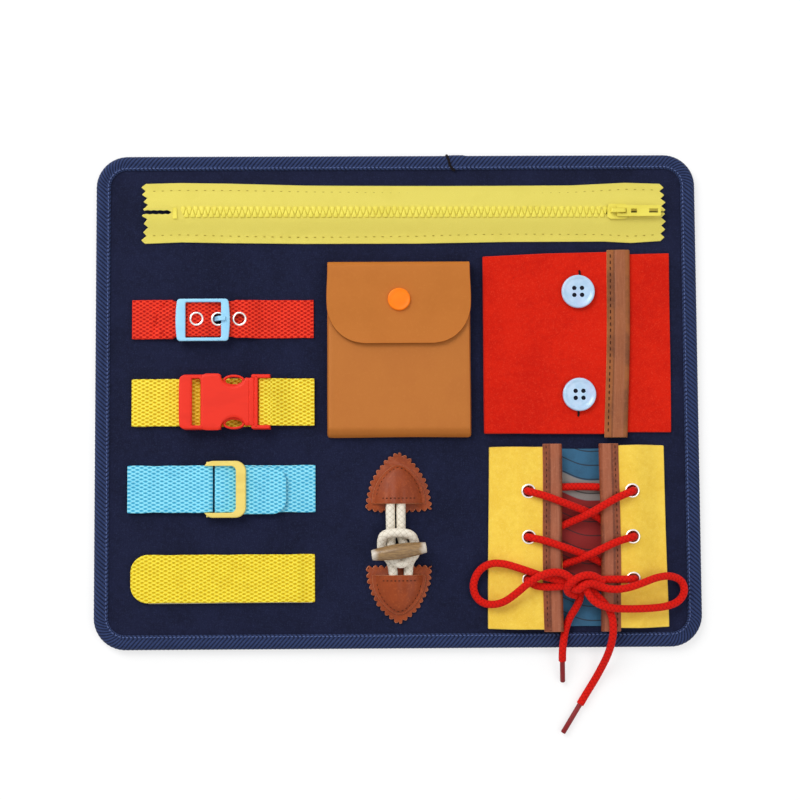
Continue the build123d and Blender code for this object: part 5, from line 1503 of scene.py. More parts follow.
# ------------------------------------------------------------------ pouch
@dataclass
class Pouch(Station):
    """Tan leather pouch with a rounded flap and a snap."""

    left: float = -36.3
    right: float = 38.3
    top: float = 73.5
    bottom: float = -19.6
    leather: float = 1.2
    flap_bottom: float = 29.2
    snap: tuple[float, float] = (1.2, 52.3)

    def build(self) -> None:
        """Back, front pocket, flap with its fold, and the snap."""
        low, high = (self.left, self.bottom), (self.right, self.top - 0.4)
        corners = [low, (high[0], low[1]), high, (low[0], high[1])]
        self.add("pouch_leather_back", panel(corners, 5.62, self.leather, 2.0, 0.0, bow=0.1), TAN_LEATHER,
                 "leather_tan", stands_for=["pouch_back"])

        def pocket(x: Array, y: Array) -> Array:
            """Falls to the back panel within 3 mm of the sewn sides and bottom."""
            sides = np.clip(np.minimum(x - self.left, self.right - x) / 0.5, 0, 1) ** 0.5
            foot = np.clip((y - self.bottom) / 4.2, 0, 1) ** 0.55
            return -4.6 * (1 - np.minimum(sides, foot)) + 0.12 * swell(x, y, 17.0, 0.5)

        front_top = 65.9
        corners = [low, (self.right, self.bottom), (self.right, front_top), (self.left, front_top)]
        self.add("pouch_leather_front", panel(corners, 11.2, self.leather, 0.8, 0.1, 0.7, 0.1, pocket), TAN_FRONT,
                 "leather_tan",
                 stands_for=["pouch_front"])
        route = [(72.2, 5.9), (72.2, 11.0), (71.0, 12.75), (67.5, 12.95), (44.0, 12.9), (36.0, 13.2),
                 (self.flap_bottom, 13.9)]
        section = eased(route, 0.7, 3.0)
        line = np.stack([np.full(len(section), 1.0), section[:, 0], section[:, 1]], -1)
        half = rounded_tip(np.clip(section[:, 0] - self.flap_bottom, 0.02, None), 37.3, 19.5)
        half = half + 0.55 * np.exp(-(((section[:, 0] - 54.0) / 9.0) ** 2))

        def drape(along: Array, across: Array) -> Array:
            """The flap's free corners lift a little."""
            return 0.35 * np.clip((along - 25) / 25, 0, 1) * (across / 37.0) ** 2 + 0.1 * swell(across, along, 15.0,
                                                                                                0.2)

        flap = ribbon(line, (1, 0, 0), half, self.leather, columns=110, lift=drape)
        self.add("pouch_leather_flap", flap, TAN_LEATHER, "leather_tan", stands_for=["pouch_flap"],
                 bend=("pouch_flap", (1.0, 73.2, 11.6), (1.0, 70.6, 13.4)))
        x, y = self.snap
        cap = stack(circle(x, y, 6.0, 48), [(0.5, 13.3), (0.05, 13.6), (0.0, 14.4), (0.2, 14.95), (0.5, 15.2),
                                            (0.8, 15.24), (1.15, 15.1), (1.7, 14.95), (3.0, 15.0), (4.8, 15.05)])
        self.add("snap_cap_dome", cap, SNAP_ORANGE, "snap_orange", body="pouch_flap", stands_for=["snap_cap"],
                 angle=50.0)
        self.dress(SNAP_STEEL, "snap_socket", "snap_stud")


# ------------------------------------------------------------------ buttoned panel
@dataclass
class ButtonedPanel(Station):
    """Red felt flap, folded at its left edge and buttoned over a red felt ground, with a leather strip."""

    left: float = 45.3
    flap_right: float = 119.0
    button_x: tuple[float, float] = (97.0, 95.4)
    button_y: tuple[float, float] = (56.5, 1.9)
    button_radius: float = 8.8
    hole_radius: float = 1.25
    hole_spacing: tuple[float, float] = (2.05, 1.85)

    def top_edge(self, x: Array) -> Array:
        """Upper edge of the felt: a little higher towards the strip."""
        return np.interp(x, (45, 79, 113, 145), (75.3, 76.9, 77.6, 77.0))

    def bottom_edge(self, x: Array) -> Array:
        """Lower edge of the felt."""
        return np.interp(x, (45, 78, 110, 145), (-17.9, -18.4, -18.6, -17.7))

    def flap(self) -> Surface:
        """The flap: tucked under at the fold, then flat to its free edge, slit beside each button."""
        section = eased([(47.9, 5.95), (46.3, 6.3), (46.5, 7.4), (48.6, 7.6), (self.flap_right, 7.6)], 0.55, 1.4)
        x = section[:, 0]
        t = np.linspace(0, 1, 190)
        low, high = self.bottom_edge(x), self.top_edge(x)
        y = low[:, None] + t[None, :] * (high - low)[:, None]
        xs = np.broadcast_to(x[:, None], y.shape)
        z = np.broadcast_to(section[:, 1][:, None], y.shape) - 0.07 * (0.5 + 0.5 * swell(xs, y, 12.0, 2.1)) * (xs > 48)
        return slab(np.stack([xs, y, z], -1), 1.5, xs, y)

    def trim(self) -> Surface:
        """The leather strip: a flat sewn side, a shallow groove and a raised fold round the felt's edge."""
        section = [(110.9, 8.55), (113.6, 8.75), (114.5, 8.55), (116.0, 9.0), (119.5, 9.15), (121.6, 8.9),
                   (122.5, 8.2), (122.6, 7.2)]
        profile = eased(section, 0.3, 1.0)
        y = np.linspace(-20.6, 78.6, 130)
        lean = 0.026 * (y - 30) + 0.35 * np.sin(y / 19.0)
        x = profile[:, 0][:, None] + lean[None, :]
        ys = np.broadcast_to(y[None, :], x.shape)
        z = np.broadcast_to(profile[:, 1][:, None], x.shape) + 0.08 * swell(x, ys, 6.0, 0.9)
        flat = np.broadcast_to(profile[:, 0][:, None], x.shape)
        return slab(np.stack([x, ys, z], -1), 1.0, flat, ys)

    def disc(self, x: float, y: float) -> Surface:
        """A button: a rounded rim falling to a flat dish."""
        levels = [(0.7, 8.95), (0.15, 9.35), (0.0, 9.9), (0.0, 10.7), (0.2, 11.2), (0.6, 11.45), (1.0, 11.47),
                  (1.6, 11.2), (2.2, 10.88), (2.9, 10.72)]
        return stack(circle(x, y, self.button_radius, 72), levels)

    def eyes(self, x: float, y: float) -> Surface:
        """The button's four holes as dark plugs in its dish: painted shade of the holes, standing in for the thread
        inside them.
        """
        holes = [stack(circle(x + i * self.hole_spacing[0], y + j * self.hole_spacing[1], self.hole_radius, 20),
                       [(0.2, 10.4), (0.0, 10.5), (0.0, 10.7), (0.15, 10.75)])
                 for i in (-1, 1) for j in (-1, 1)]
        return holes[0] + holes[1] + holes[2] + holes[3]

    def build(self) -> None:
        """Ground, flap, slits, strip with its stitches, buttons and the painted shade of their holes."""
        ground = panel([(46.2, -18.0), (144.4, -17.7), (145.0, 77.0), (46.2, 75.6)], 5.72, 1.5, 1.2, 0.05, 0.4, 0.15)
        ground_piece = self.add("red_felt_ground", ground, RED_FELT, "felt_red", stands_for=["red_under_panel"])
        flap = self.add("red_felt_flap", self.flap(), RED_FELT, "felt_red", stands_for=["red_flap", "buttonhole_lips"],
                        bend=("red_flap", (46.2, 29.3, 6.2), (47.5, 29.3, 7.8)))
        self.add("red_flap_strip", self.trim(), STRIP_LEATHER, "leather_brown", body="red_flap",
                 stands_for=["red_flap_trim"])
        y = np.linspace(-18.5, 76.5, 60)
        row = np.stack([112.5 + 0.026 * (y - 30) + 0.35 * np.sin(y / 19.0), y, np.full(60, 9.32)], -1)
        self.add("red_strip_stitches", seam(row, 3.3, 1.9, 0.26, 0.0), DARK_STITCH, "leather_brown", body="red_flap")
        for (x, yb), sign, word in zip(zip(self.button_x, self.button_y), (1, -1), ("upper", "lower")):
            # The slit is a black tube: painted shade of the opening; the stitches over it are thread.
            start = np.array([x, yb + sign * 8.2, 8.42])
            slit = np.stack([start, start + (0.25, sign * 1.6, 0.0), start + (0.0, sign * 3.4, 0.0)])
            self.add(f"buttonhole_{word}", tube(slit, np.array([0.42, 0.5, 0.4]), 8) +
                     seam(slit + (0.0, 0.0, 0.2), 0.8, 1.5, 0.16, 82.0), DARK_THREAD_AND_SHADE, "thread_pale", body="red_flap")
            centre = (96.0, 56.5) if word == "upper" else (96.0, 1.9)
            self.add(f"button_disc_{word}", self.disc(*centre), BUTTON, "button_blue", body=f"button_{word}",
                     stands_for=[f"button_{word}"])
            # dark plugs: painted shade of the button holes
            self.add(f"button_eyes_{word}", self.eyes(*centre), HOLE_SHADE, "thread_pale", body=f"button_{word}",
                     stands_for=[f"button_thread_{word}"])


# ------------------------------------------------------------------ cords
def spline_line(route: Sequence[Sequence[float]]) -> Array:
    """Points in millimetres of one open spline whose control points are the route."""
    curve = bpy.data.curves.new("cord line", "CURVE")
    curve.dimensions = "3D"
    spline = curve.splines.new("NURBS")
    spline.points.add(len(route) - 1)
    for control, place in zip(spline.points, route):
        control.co = (place[0] * MM, place[1] * MM, place[2] * MM, 1.0)
    spline.order_u = 3
    spline.use_endpoint_u = True
    spline.resolution_u = 14
    holder = bpy.data.objects.new("cord line", curve)
    line_mesh = bpy.data.meshes.new_from_object(holder)
    line = np.zeros(len(line_mesh.vertices) * 3)
    line_mesh.vertices.foreach_get("co", line)
    bpy.data.objects.remove(holder)
    bpy.data.meshes.remove(line_mesh)
    bpy.data.curves.remove(curve)
    return line.reshape(-1, 3) / MM


def strands(pitch: float, count: int, depth: float) -> Callable[[Array, Array], Array]:
    """Relief of a braided cord: crossed strands that dip where they pass under each other."""

    def relief(run: Array, turn: Array) -> Array:
        """Depth at a length along the cord and an angle round it."""
        u, v = run * math.pi / pitch, turn * count / 2
        return depth * (np.maximum(np.abs(np.cos(u + v)), np.abs(np.cos(u - v))) - 1.0)

    return relief


class CordStation(Station):
    """A station with cords."""

    def cord(self, name: str, route: Sequence[Sequence[float]], diameter: float, finish: object, slot: str,
             far_end: str, stands_for: Sequence[str] = (), declared: float | None = None,
             with_pieces: Sequence[str] = (), lay: str = "loose") -> bpy.types.Object:
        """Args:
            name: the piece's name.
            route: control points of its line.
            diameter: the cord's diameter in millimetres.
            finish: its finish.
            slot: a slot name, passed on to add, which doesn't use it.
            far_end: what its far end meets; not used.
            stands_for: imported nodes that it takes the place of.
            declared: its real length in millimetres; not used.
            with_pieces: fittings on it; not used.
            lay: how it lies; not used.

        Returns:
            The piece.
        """
        line = spline_line(route)
        piece = self.add(name, tube(line, diameter / 2, 20, strands(2.2, 8, 0.09 * diameter / 4)), finish, slot,
                         stands_for=stands_for, angle=70.0)
        log.info("%s: line %.1f mm", name, np.linalg.norm(np.diff(line, axis=0), axis=1).sum())
        return piece


# ------------------------------------------------------------------ toggle frog
@dataclass
class ToggleFrog(CordStation):
    """Two pinked leather patches whose pockets hold a cord loop and a corded horn toggle."""

    x: float = 0.4
    half: float = 17.4
    length: float = 30.0
    power: float = 1.45
    bases: tuple[float, float] = (-58.4, -89.0)
    base_top: float = 6.2
    pocket_half: float = 13.8
    mouth: float = 3.6
    pocket_length: float = 20.4
    lobe_pitch: float = 3.3
    lobe_depth: float = 1.5
    cord_size: float = 4.9
    toggle: tuple[float, float, float] = (0.4, -79.8, 18.0)
    toggle_length: float = 28.7
    tilt: float = 8.0

    def arch(self, inset: float, base_y: float, row: Row, count: int = 60) -> Array:
        """Points round an arched outline: base corner, over the arch, other base corner."""
        share = np.linspace(-1, 1, count)
        half, length = self.half - inset, self.length - 1.5 * inset
        x = self.x + half * np.sin(share * math.pi / 2)
        y = base_y + row.value * (inset / 2 + length * (1 - np.abs(share) ** self.power))
        return np.stack([x, y], -1)

    def patch(self, base_y: float, row: Row) -> Surface:
        """The flat patch: an arch on a gently bowed base, pinked all round in rounded lobes."""
        start, drop = (0.6, 1.7) if row is Row.UPPER else (-1.1, 0.7)
        arch = self.arch(0.0, base_y + row.value * start, row, 240)
        foot = np.linspace(1, -1, 90)[1:-1]
        base = np.stack([self.x + self.half * foot, base_y + row.value * (start - drop * (1 - foot**6))], -1)
        outline = resampled(np.vstack([arch, base]), 720)
        area = np.sum(outline[:, 0] * np.roll(outline[:, 1], -1) - outline[:, 1] * np.roll(outline[:, 0], -1))
        outline = outline if area > 0 else outline[::-1]
        run = np.arange(720) / 720
        lobes = round(np.linalg.norm(np.diff(outline, axis=0), axis=1).sum() / self.lobe_pitch)
        uneven = 0.25 * np.sin(run * 71.0) * np.sin(run * 23.0)
        notch = self.lobe_depth * np.abs((run * lobes) % 1.0 * 2 - 1) ** 1.9 + uneven
        outline = drawn_in(outline, notch[:, None])
        middle = outline.mean(axis=0)
        top = self.base_top
        return stack(outline, [(0.012, 5.0), (0.0, 5.2), (0.0, top - 0.3), (0.008, top - 0.08), (0.02, top)], middle)

    def dome(self, x: Array, t: Array) -> Array:
        """Height of the pocket's middle surface at x from the middle line and share t of its length.

        A flat rim round a smooth swell over the cords, with two faint ridges at its mouth and a little unevenness.
        """
        reach = self.pocket_half * np.sin(math.pi / 2 * (1 - np.minimum(t, 0.999)) ** (1 / self.power))
        across = np.clip(np.abs(x) / np.maximum(reach - 1.6, 0.1), 0, 1)
        swelled = (1 - across**3.2) ** 1.1 * np.clip(1 - t / 0.93, 0, 1) ** 0.55
        twin = 0.28 * np.cos((x + 1.2) * math.pi / 2.9) * np.exp(-(((x + 1.2) / 6.5) ** 4)) * (1 - t) ** 2
        return self.base_top + 0.62 + 4.7 * swelled + twin + 0.1 * swell(x, t * 20.0, 4.0, self.mouth)

    def pocket(self, base_y: float, row: Row) -> Surface:
        """The upper leather: domed over the cords at its straight mouth, flat and sewn round its arch."""
        t = 1 - np.linspace(1, 0.09, 70) ** 1.6
        s = np.linspace(-1, 1, 90)
        reach = self.pocket_half * np.sin(math.pi / 2 * (1 - t) ** (1 / self.power))
        x = s[:, None] * reach[None, :]
        y = np.broadcast_to(base_y + row.value * (self.mouth + self.pocket_length * t)[None, :], x.shape)
        middle = np.stack([self.x + x, y, self.dome(x, np.broadcast_to(t[None, :], x.shape))], -1)
        if row is Row.LOWER:
            middle, x, y = middle[::-1], x[::-1], y[::-1]
        return slab(middle, 1.2, x, y)

    def stitches(self, base_y: float, row: Row) -> Surface:
        """Dark stitches: round the arch of the pocket and straight across its mouth."""
        share = np.linspace(-0.9, 0.9, 90)
        x = (self.pocket_half - 2.2) * np.sin(share * math.pi / 2)
        t = 0.06 + 0.86 * (1 - np.abs(share) ** self.power)
        across = np.linspace(-9.0, 9.0, 40)
        level = np.full(40, 0.13)
        rows = []
        for xs, ts, pitch, length in ((x, t, 2.3, 1.2), (across, level, 2.1, 1.1)):
            y = base_y + row.value * (self.mouth + self.pocket_length * ts)
            rows.append(seam(np.stack([self.x + xs, y, self.dome(xs, ts) + 0.68], -1), pitch, length, 0.24))
        return rows[0] + rows[1]

    def bar(self) -> Surface:
        """The toggle: a spindle with flat polished ends."""
        c, s = math.cos(math.radians(self.tilt)), math.sin(math.radians(self.tilt))
        share = np.concatenate([[-1.0, -0.998, -0.985], np.linspace(-0.96, 0.96, 90), [0.985, 0.998, 1.0]])
        size = 4.0 - 1.35 * np.abs(share) ** 1.9
        size[[0, -1]] -= 0.75
        size[[1, -2]] -= 0.32
        size[[2, -3]] -= 0.08
        along = share * self.toggle_length / 2
        line = np.array(self.toggle) + along[:, None] * np.array([c, s, 0.0])
        return tube(line, size, 40)

    def build(self) -> None:
        """Patches, pockets, stitches, cords and toggle."""
        for base_y, row, word in ((self.bases[0], Row.UPPER, "upper"), (self.bases[1], Row.LOWER, "lower")):
            self.add(f"frog_patch_{word}", self.patch(base_y, row), RUSSET_LEATHER, "leather_russet",
                     stands_for=[f"toggle_patch_{word}"], angle=50.0)
            self.add(f"frog_pocket_{word}", self.pocket(base_y, row), RUSSET_LEATHER, "leather_russet",
                     stands_for=["toggle_patch_facings"])
            self.add(f"frog_stitches_{word}", self.stitches(base_y, row), DARK_STITCH, "leather_russet")
        upper = [(-3.9, -53.0, 8.5), (-4.0, -58.0, 8.7), (-4.0, -63.0, 8.5), (-3.9, -68.0, 7.9), (-3.7, -73.0, 7.9),
                 (-3.7, -77.6, 9.0), (-4.0, -81.2, 11.2), (-3.0, -84.4, 12.9), (1.3, -86.8, 13.6), (5.4, -84.4, 12.9),
                 (5.7, -81.2, 11.2), (3.6, -77.6, 9.0), (1.8, -73.0, 7.9), (1.6, -68.0, 7.9), (1.6, -63.0, 8.5),
                 (1.6, -58.0, 8.7), (1.6, -53.0, 8.5)]
        lower = [(-2.4, -97.5, 8.5), (-2.5, -93.0, 8.7), (-3.0, -88.0, 8.3), (-4.2, -84.5, 8.1), (-8.2, -80.8, 8.5),
                 (-8.9, -75.5, 9.8), (-7.4, -70.2, 13.2), (6.6, -70.2, 13.2), (8.9, -75.5, 9.8), (9.6, -80.8, 8.5),
                 (6.4, -84.5, 8.1), (5.4, -88.0, 8.3), (5.2, -93.0, 8.7), (5.1, -97.5, 8.5)]
        self.cord("frog_cord_upper", upper, self.cord_size, CREAM_CORD, "cord_cream", "object", ["toggle_cord_upper"],
                  74.6)
        self.cord("frog_cord_lower", lower, self.cord_size, CREAM_CORD, "cord_cream", "object", ["toggle_cord_lower"],
                  71.7)
        self.add("toggle_spindle", self.bar(), HORN, "toggle_wood", body="toggle", stands_for=["toggle_bar"])


# ------------------------------------------------------------------ lacing
@dataclass
class Lacing(CordStation):
    """Two yellow felt leaves over a printed cloth, edged with leather and laced through six eyelets."""

    top: float = -25.9
    bottom: float = -120.4
    felt_low: float = 5.75
    lift: float = 5.1
    thickness: float = 1.5
    eyelet_rows: tuple[float, ...] = (-48.8, -72.8, -95.0)
    eyelet_left: float = 68.4
    eyelet_right: float = 122.9
    lace: float = 4.0

    def leaf(self, outer: tuple[float, float], inner: float, inward: int, eyelet_x: float, seed: float) -> Surface:
        """One felt leaf: sewn flat at its outer side, rising on a slope, then level to its inner edge, with holes."""

        def rise(x: Array, y: Array) -> Array:
            """Height over the sewn side."""
            share = np.clip(((x - outer[0]) * inward - 0.5) / 17.0, 0, 1)
            return self.lift * share * share * (3 - 2 * share)

        def cloth(x: Array, y: Array) -> Array:
            """Everywhere but the eyelet holes."""
            return np.all([np.hypot(x - eyelet_x, y - row) > 3.1 for row in self.eyelet_rows], axis=0)

        if inward > 0:
            corners = [(outer[1], self.bottom), (inner, self.bottom - 0.6), (inner, self.top), (outer[0], self.top)]
        else:
            corners = [(inner, self.bottom + 0.2), (outer[1], self.bottom + 0.4), (outer[0], self.top + 0.6),
                       (inner, self.top + 0.6)]
        return panel(corners, self.felt_low, self.thickness, 0.7, 0.08, seed, 0.15, rise, cloth)

    def edging(self, inner: float, inward: int) -> Surface:
        """The leather strip: a sewn side with a groove, then a raised fold along the leaf's inner edge."""
        section = [(-9.3, 11.85), (-7.6, 12.1), (-6.9, 11.95), (-5.6, 12.25), (-2.6, 12.35), (-0.8, 12.1), (0.0, 11.7),
                   (0.25, 10.9)]
        profile = eased(section, 0.3, 1.0)
        y = np.linspace(-121.9, -24.4, 120)
        x = inner + inward * profile[:, 0][:, None] + (0.3 * np.sin(y / 17.0 + inner))[None, :]
        ys = np.broadcast_to(y[None, :], x.shape)
        z = np.broadcast_to(profile[:, 1][:, None], x.shape) + 0.06 * swell(x, ys, 6.0, inner)
        middle = np.stack([x, ys, z], -1)
        flat = np.broadcast_to(profile[:, 0][:, None], x.shape)
        if inward < 0:
            middle, flat, ys = middle[::-1], flat[::-1], ys[::-1]
        return slab(middle, 1.0, flat, ys)

    def eyelets(self) -> Surface:
        """Rolled rings at each hole."""
        rings = None
        for x in (self.eyelet_left, self.eyelet_right):
            for y in self.eyelet_rows:
                section = [(0.0, 9.5), (0.3, 9.5), (0.35, 11.5), (1.0, 11.55), (1.0, 11.85), (0.75, 12.05),
                           (0.4, 12.08), (0.1, 11.9), (0.0, 11.5)]
                ring = hoop(circle(x, y, 3.75), circle(x, y, 2.72), section)
                rings = ring if rings is None else rings + ring
        return rings

    def knot(self) -> Surface:
        """The bow's knot: the lace drawn over the crossing, a second turn inside it, and its core."""
        over = [(92.6, -103.4, 12.4), (88.0, -102.4, 14.2), (87.2, -98.2, 18.4), (91.4, -94.2, 21.4),
                (97.0, -92.2, 21.4),
                (102.4, -93.2, 19.6), (106.2, -96.2, 17.4)]
        under = [(90.4, -99.4, 16.0), (92.6, -100.8, 19.6), (95.4, -97.6, 21.6), (99.6, -96.4, 21.0),
                 (104.6, -98.4, 19.2),
                 (109.4, -100.0, 17.6)]
        wraps = [tube(spline_line(route), 2.0, 20, strands(2.2, 8, 0.11)) for route in (over, under)]
        core = np.array([[88.4, -97.2, 15.2], [91.0, -97.2, 16.0], [94.5, -97.0, 16.6], [98.0, -96.8, 16.6],
                         [101.4, -96.8, 16.0]])
        return wraps[0] + wraps[1] + tube(core, np.array([1.4, 2.9, 3.3, 2.9, 1.4]), 20)

    def build(self) -> None:
        """Picture, leaves, edgings, eyelets, lace, knot and lace tips."""
        picture = [(79.3, -119.6), (112.6, -119.6), (112.6, -26.6), (79.3, -26.6)]
        cloth = self.add("picture_print", panel(picture, 5.3, 0.6, 1.5, 0.03, 0.7, 0.1), PICTURE, "picture_cloth",
                         stands_for=["lacing_picture"])
        for word, outer, inner, inward, x, seed in (
            ("left", (48.5, 47.3), 85.3, 1, self.eyelet_left, 0.3),
            ("right", (140.3, 141.6), 106.6, -1, self.eyelet_right, 1.9)
        ):
            leaf = self.add(f"felt_leaf_{word}", self.leaf(outer, inner, inward, x, seed), YELLOW_FELT, "felt_yellow",
                            stands_for=[f"lacing_panel_{word}"])
            self.add(f"leaf_edging_{word}", self.edging(inner, inward), EDGING_LEATHER, "leather_brown",
                     stands_for=["lacing_trims"])
            y = np.linspace(-120.4, -25.6, 60)
            row = np.stack([inner - inward * 7.7 + 0.3 * np.sin(y / 17.0 + inner), y, np.full(60, 12.72)], -1)
            self.add(f"edging_stitches_{word}", seam(row, 3.0, 1.6, 0.2), DARK_STITCH, "leather_brown")
        self.add("lacing_eyelet_rings", self.eyelets(), EYELET, "eyelet_metal", stands_for=["lacing_eyelets"])
        self.laces()
        self.add("bow_knot", self.knot(), LACE, "lace_red", angle=70.0)

    def laces(self) -> None:
        """The lace: its crossings, the two loops of its bow, its two tails and their tips."""
        crossings = [
            (91.0, -97.8, 15.0), (84.5, -98.6, 15.0), (76.5, -98.9, 15.0), (70.6, -98.0, 14.9), (67.8, -95.4, 14.4),
            (67.8, -95.0, 7.6),
            (74.5, -92.2, 7.7), (82.0, -89.0, 7.8), (91.0, -86.0, 8.3), (99.0, -82.8, 13.4), (106.5, -78.9, 15.0),
            (115.0, -75.0, 14.9), (123.5, -72.9, 14.4), (123.5, -72.7, 7.6), (116.5, -69.6, 7.7), (109.0, -65.4, 7.7),
            (101.0, -60.2, 8.6), (93.5, -57.6, 12.6), (85.5, -54.6, 15.0), (77.0, -51.4, 14.9), (67.8, -48.9, 14.4),
            (67.8, -48.7, 7.6), (81.0, -47.0, 7.6), (95.6, -46.4, 7.6), (110.2, -47.0, 7.6), (123.5, -48.7, 7.6),
            (123.5, -48.9, 14.4), (115.0, -52.2, 14.9), (106.5, -57.0, 15.0), (99.0, -61.4, 13.2), (91.0, -65.0, 8.3),
            (82.0, -68.9, 7.7), (74.5, -71.6, 7.7), (67.8, -72.7, 7.6), (67.8, -72.9, 14.4), (76.5, -74.6, 14.9),
            (85.0, -77.7, 15.0), (93.5, -80.6, 12.6), (101.0, -83.6, 8.6), (109.0, -87.6, 7.7), (116.5, -92.0, 7.7),
            (123.5, -94.8, 7.6), (123.5, -95.0, 14.4), (116.5, -95.0, 14.8), (108.5, -95.0, 15.0),
            (102.0, -95.2, 15.4), (97.4, -96.0, 15.6),
        ]
        left_loop = [
            (92.4, -97.0, 15.6), (87.0, -96.0, 15.6), (81.0, -94.8, 15.4), (75.0, -93.2, 15.2), (69.0, -91.0, 14.9),
            (62.5, -88.8, 14.5), (55.6, -86.6, 13.4), (48.5, -86.2, 10.2), (42.6, -89.6, 7.9), (39.2, -96.0, 7.4),
            (39.6, -102.6, 7.4), (43.6, -107.2, 7.9), (49.6, -108.2, 10.4), (55.6, -106.2, 14.2), (61.4, -101.6, 17.6),
            (66.8, -96.8, 19.4), (72.6, -92.9, 19.9), (79.0, -90.8, 20.0), (85.2, -91.2, 20.0), (89.6, -94.4, 19.4),
            (91.6, -98.4, 17.4),
        ]
        right_loop = [
            (98.0, -96.2, 18.4), (104.0, -98.8, 19.1), (111.5, -100.3, 19.2), (119.0, -99.4, 19.0),
            (126.6, -96.9, 18.2),
            (134.0, -94.2, 15.4), (142.0, -93.2, 11.6), (148.6, -95.8, 8.6), (150.4, -101.6, 8.3), (147.0, -107.0, 9.2),
            (140.0, -109.4, 12.0), (130.5, -110.2, 14.4), (121.0, -110.3, 16.4), (112.0, -110.0, 18.8),
            (104.0, -108.2, 19.6),
            (98.6, -104.0, 19.6), (96.4, -98.4, 18.6),
        ]
        left_tail = [
            (95.0, -98.6, 14.0), (95.2, -104.4, 11.4), (93.0, -109.8, 8.6), (89.4, -115.2, 7.9), (87.2, -121.2, 8.2),
            (86.0, -127.4, 9.2), (85.4, -133.2, 8.6), (85.6, -137.4, 6.8),
        ]
        right_tail = [
            (98.8, -98.4, 14.4), (103.0, -103.4, 14.8), (107.6, -107.6, 14.8), (110.9, -113.6, 15.0),
            (111.6, -121.0, 15.2),
            (110.9, -127.8, 12.4), (109.2, -134.2, 9.4), (106.8, -140.4, 5.0), (103.4, -147.2, 2.5),
            (99.2, -153.8, 2.2),
            (95.0, -160.6, 2.2),
        ]
        for name, route, node, length in (
            ("lace_zigzag", crossings, "lace_crossings", 377.5),
            ("bow_loop_left", left_loop, "lace_bow", 131.4),
            ("bow_loop_right", right_loop, "lace_bow", 123.3),
        ):
            self.cord(name, route, self.lace, LACE, "lace_red", "object", [node], length)
        for name, route, tip, length in (("lace_tail_left", left_tail, 12.4, 42.2),
                                         ("lace_tail_right", right_tail, 17.4, 72.8)):
            heading = unit(np.array(route[-1]) - np.array(route[-2]))
            shares = np.array([-0.12, -0.02, 0.0, 0.5, 0.97, 1.0])
            line = np.array(route[-1]) + heading * (shares * tip)[:, None]
            sleeve = tube(line, np.array([1.2, 1.35, 1.35, 1.35, 1.35, 1.1]), 20)
            sleeve_name = name.replace("tail", "tip")
            self.add(sleeve_name, sleeve, AGLET, "aglet_red", stands_for=["lace_aglets"], angle=50.0)
            self.cord(name, route, self.lace, LACE, "lace_red", "fitting", ["lace_tails"], length, [sleeve_name])


# ------------------------------------------------------------------ studio
def seen_directly(tree: bpy.types.NodeTree) -> bpy.types.NodeSocket:
    """1 where the camera, a mirror or clear plastic looks at the surface, and 0 where it only lights the object."""
    path = tree.nodes.new("ShaderNodeLightPath")
    seen = path.outputs["Is Camera Ray"]
    for ray in ("Is Glossy Ray", "Is Transmission Ray"):
        either = tree.nodes.new("ShaderNodeMath")
        either.operation, either.use_clamp = "ADD", True
        tree.links.new(seen, either.inputs[0])
        tree.links.new(path.outputs[ray], either.inputs[1])
        seen = either.outputs[0]
    return seen


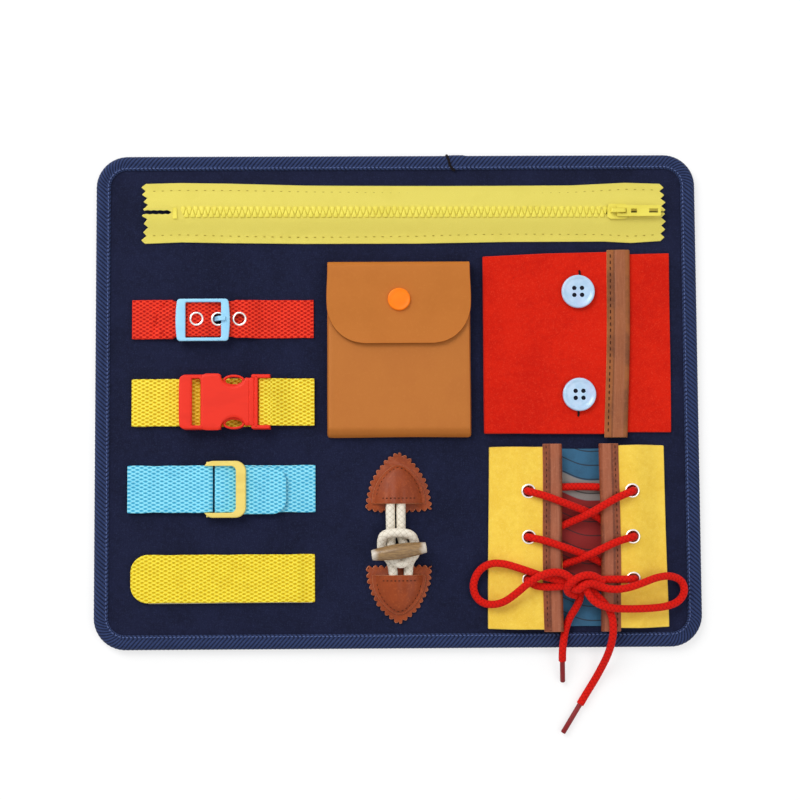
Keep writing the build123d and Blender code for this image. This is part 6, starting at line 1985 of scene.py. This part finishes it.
@dataclass
class Studio:
    """Camera, floor and soft light."""

    lens: float = 76.0
    sensor: float = 36.0
    place: tuple[float, float, float] = (-8.58, -63.31, 896.72)
    turns: tuple[float, float, float] = (-4.05, 0.622, 0.333)
    floor_whitened: float = 0.6

    def camera(self) -> None:
        """A long lens looking down on the board."""
        ax, ay, az = (math.radians(v) for v in self.turns)
        rx = np.array([[1, 0, 0], [0, math.cos(ax), -math.sin(ax)], [0, math.sin(ax), math.cos(ax)]])
        ry = np.array([[math.cos(ay), 0, math.sin(ay)], [0, 1, 0], [-math.sin(ay), 0, math.cos(ay)]])
        rz = np.array([[math.cos(az), -math.sin(az), 0], [math.sin(az), math.cos(az), 0], [0, 0, 1]])
        data = bpy.data.cameras.new("camera")
        data.lens, data.sensor_width, data.clip_end = self.lens, self.sensor, 20.0
        camera = bpy.data.objects.new("camera", data)
        bpy.context.scene.collection.objects.link(camera)
        matrix = Matrix((rx @ ry @ rz).T.tolist()).to_4x4()
        matrix.translation = [v * MM for v in self.place]
        camera.matrix_world = matrix
        bpy.context.scene.camera = camera

    def lamp(self, name: str, place: Sequence[float], size: float, power: float) -> None:
        """A square soft light aimed at the board."""
        data = bpy.data.lights.new(name, "AREA")
        data.shape, data.size, data.energy = "SQUARE", size, power
        lamp = bpy.data.objects.new(name, data)
        bpy.context.scene.collection.objects.link(lamp)
        lamp.location = place
        lamp.rotation_euler = (-Vector(place)).to_track_quat("-Z", "Y").to_euler()

    def floor(self) -> None:
        """A plain pale floor that runs out of view."""
        half = 3.0
        points = np.array([(-half, -half, 0), (half, -half, 0), (half, half, 0), (-half, half, 0)]) / MM
        strip = [np.array([[(0, 0), (1, 0), (1, 1), (0, 1)]], float)]
        plane = Surface(points, [np.array([[0, 1, 2, 3]])], strip, np.zeros(4)).mesh("floor", 30.0)
        plane.location.z = -0.0003
        plane.data.materials.append(made(Moulded("floor_white", rgb(255, 255, 255), rgb(255, 255, 255), 0.9)))
        tree = plane.data.materials[0].node_tree
        out = next(node for node in tree.nodes if node.type == "OUTPUT_MATERIAL")
        surface = out.inputs["Surface"].links[0].from_socket
        share = tree.nodes.new("ShaderNodeMath")
        white, mix = tree.nodes.new("ShaderNodeEmission"), tree.nodes.new("ShaderNodeMixShader")
        share.operation, share.inputs[1].default_value = "MULTIPLY", self.floor_whitened
        tree.links.new(seen_directly(tree), share.inputs[0])
        tree.links.new(share.outputs[0], mix.inputs["Fac"])
        tree.links.new(surface, mix.inputs[1])
        tree.links.new(white.outputs[0], mix.inputs[2])
        tree.links.new(mix.outputs[0], out.inputs["Surface"])

    def world(self, level: float) -> None:
        """Even light from all round; the camera and mirrors see white."""
        world = bpy.data.worlds.new("world")
        bpy.context.scene.world = world
        world.use_nodes = True
        nodes, links = world.node_tree.nodes, world.node_tree.links
        nodes.clear()
        light, white = nodes.new("ShaderNodeBackground"), nodes.new("ShaderNodeBackground")
        light.inputs["Strength"].default_value = level
        light.inputs["Color"].default_value = (1.0, 1.0, 1.0, 1.0)
        white.inputs["Color"].default_value = (1.0, 1.0, 1.0, 1.0)
        mix, out = nodes.new("ShaderNodeMixShader"), nodes.new("ShaderNodeOutputWorld")
        links.new(seen_directly(world.node_tree), mix.inputs["Fac"])
        links.new(light.outputs[0], mix.inputs[1])
        links.new(white.outputs[0], mix.inputs[2])
        links.new(mix.outputs[0], out.inputs["Surface"])

    def build(self) -> None:
        """Sets all of it."""
        self.camera()
        self.floor()
        self.world(0.55)
        self.lamp("key", (-0.75, 0.85, 1.35), 0.9, 15.5)
        self.lamp("fill", (0.95, -0.35, 1.5), 1.2, 7.5)
        self.lamp("edge", (-1.1, 0.75, 0.26), 0.5, 3.5)
        bpy.context.scene.view_settings.view_transform = "Standard"


def main() -> None:
    """Builds the studio and the board's stations."""
    logging.basicConfig(level=logging.INFO, format="%(name)s: %(message)s")
    Studio().build()
    for station in (Lacing(), ToggleFrog(), Board(), Zip(), Belt(), Clip(), SlideStrap(), Tab(), Pouch(),
                    ButtonedPanel()):
        station.build()


if __name__ == "__main__":
    main()
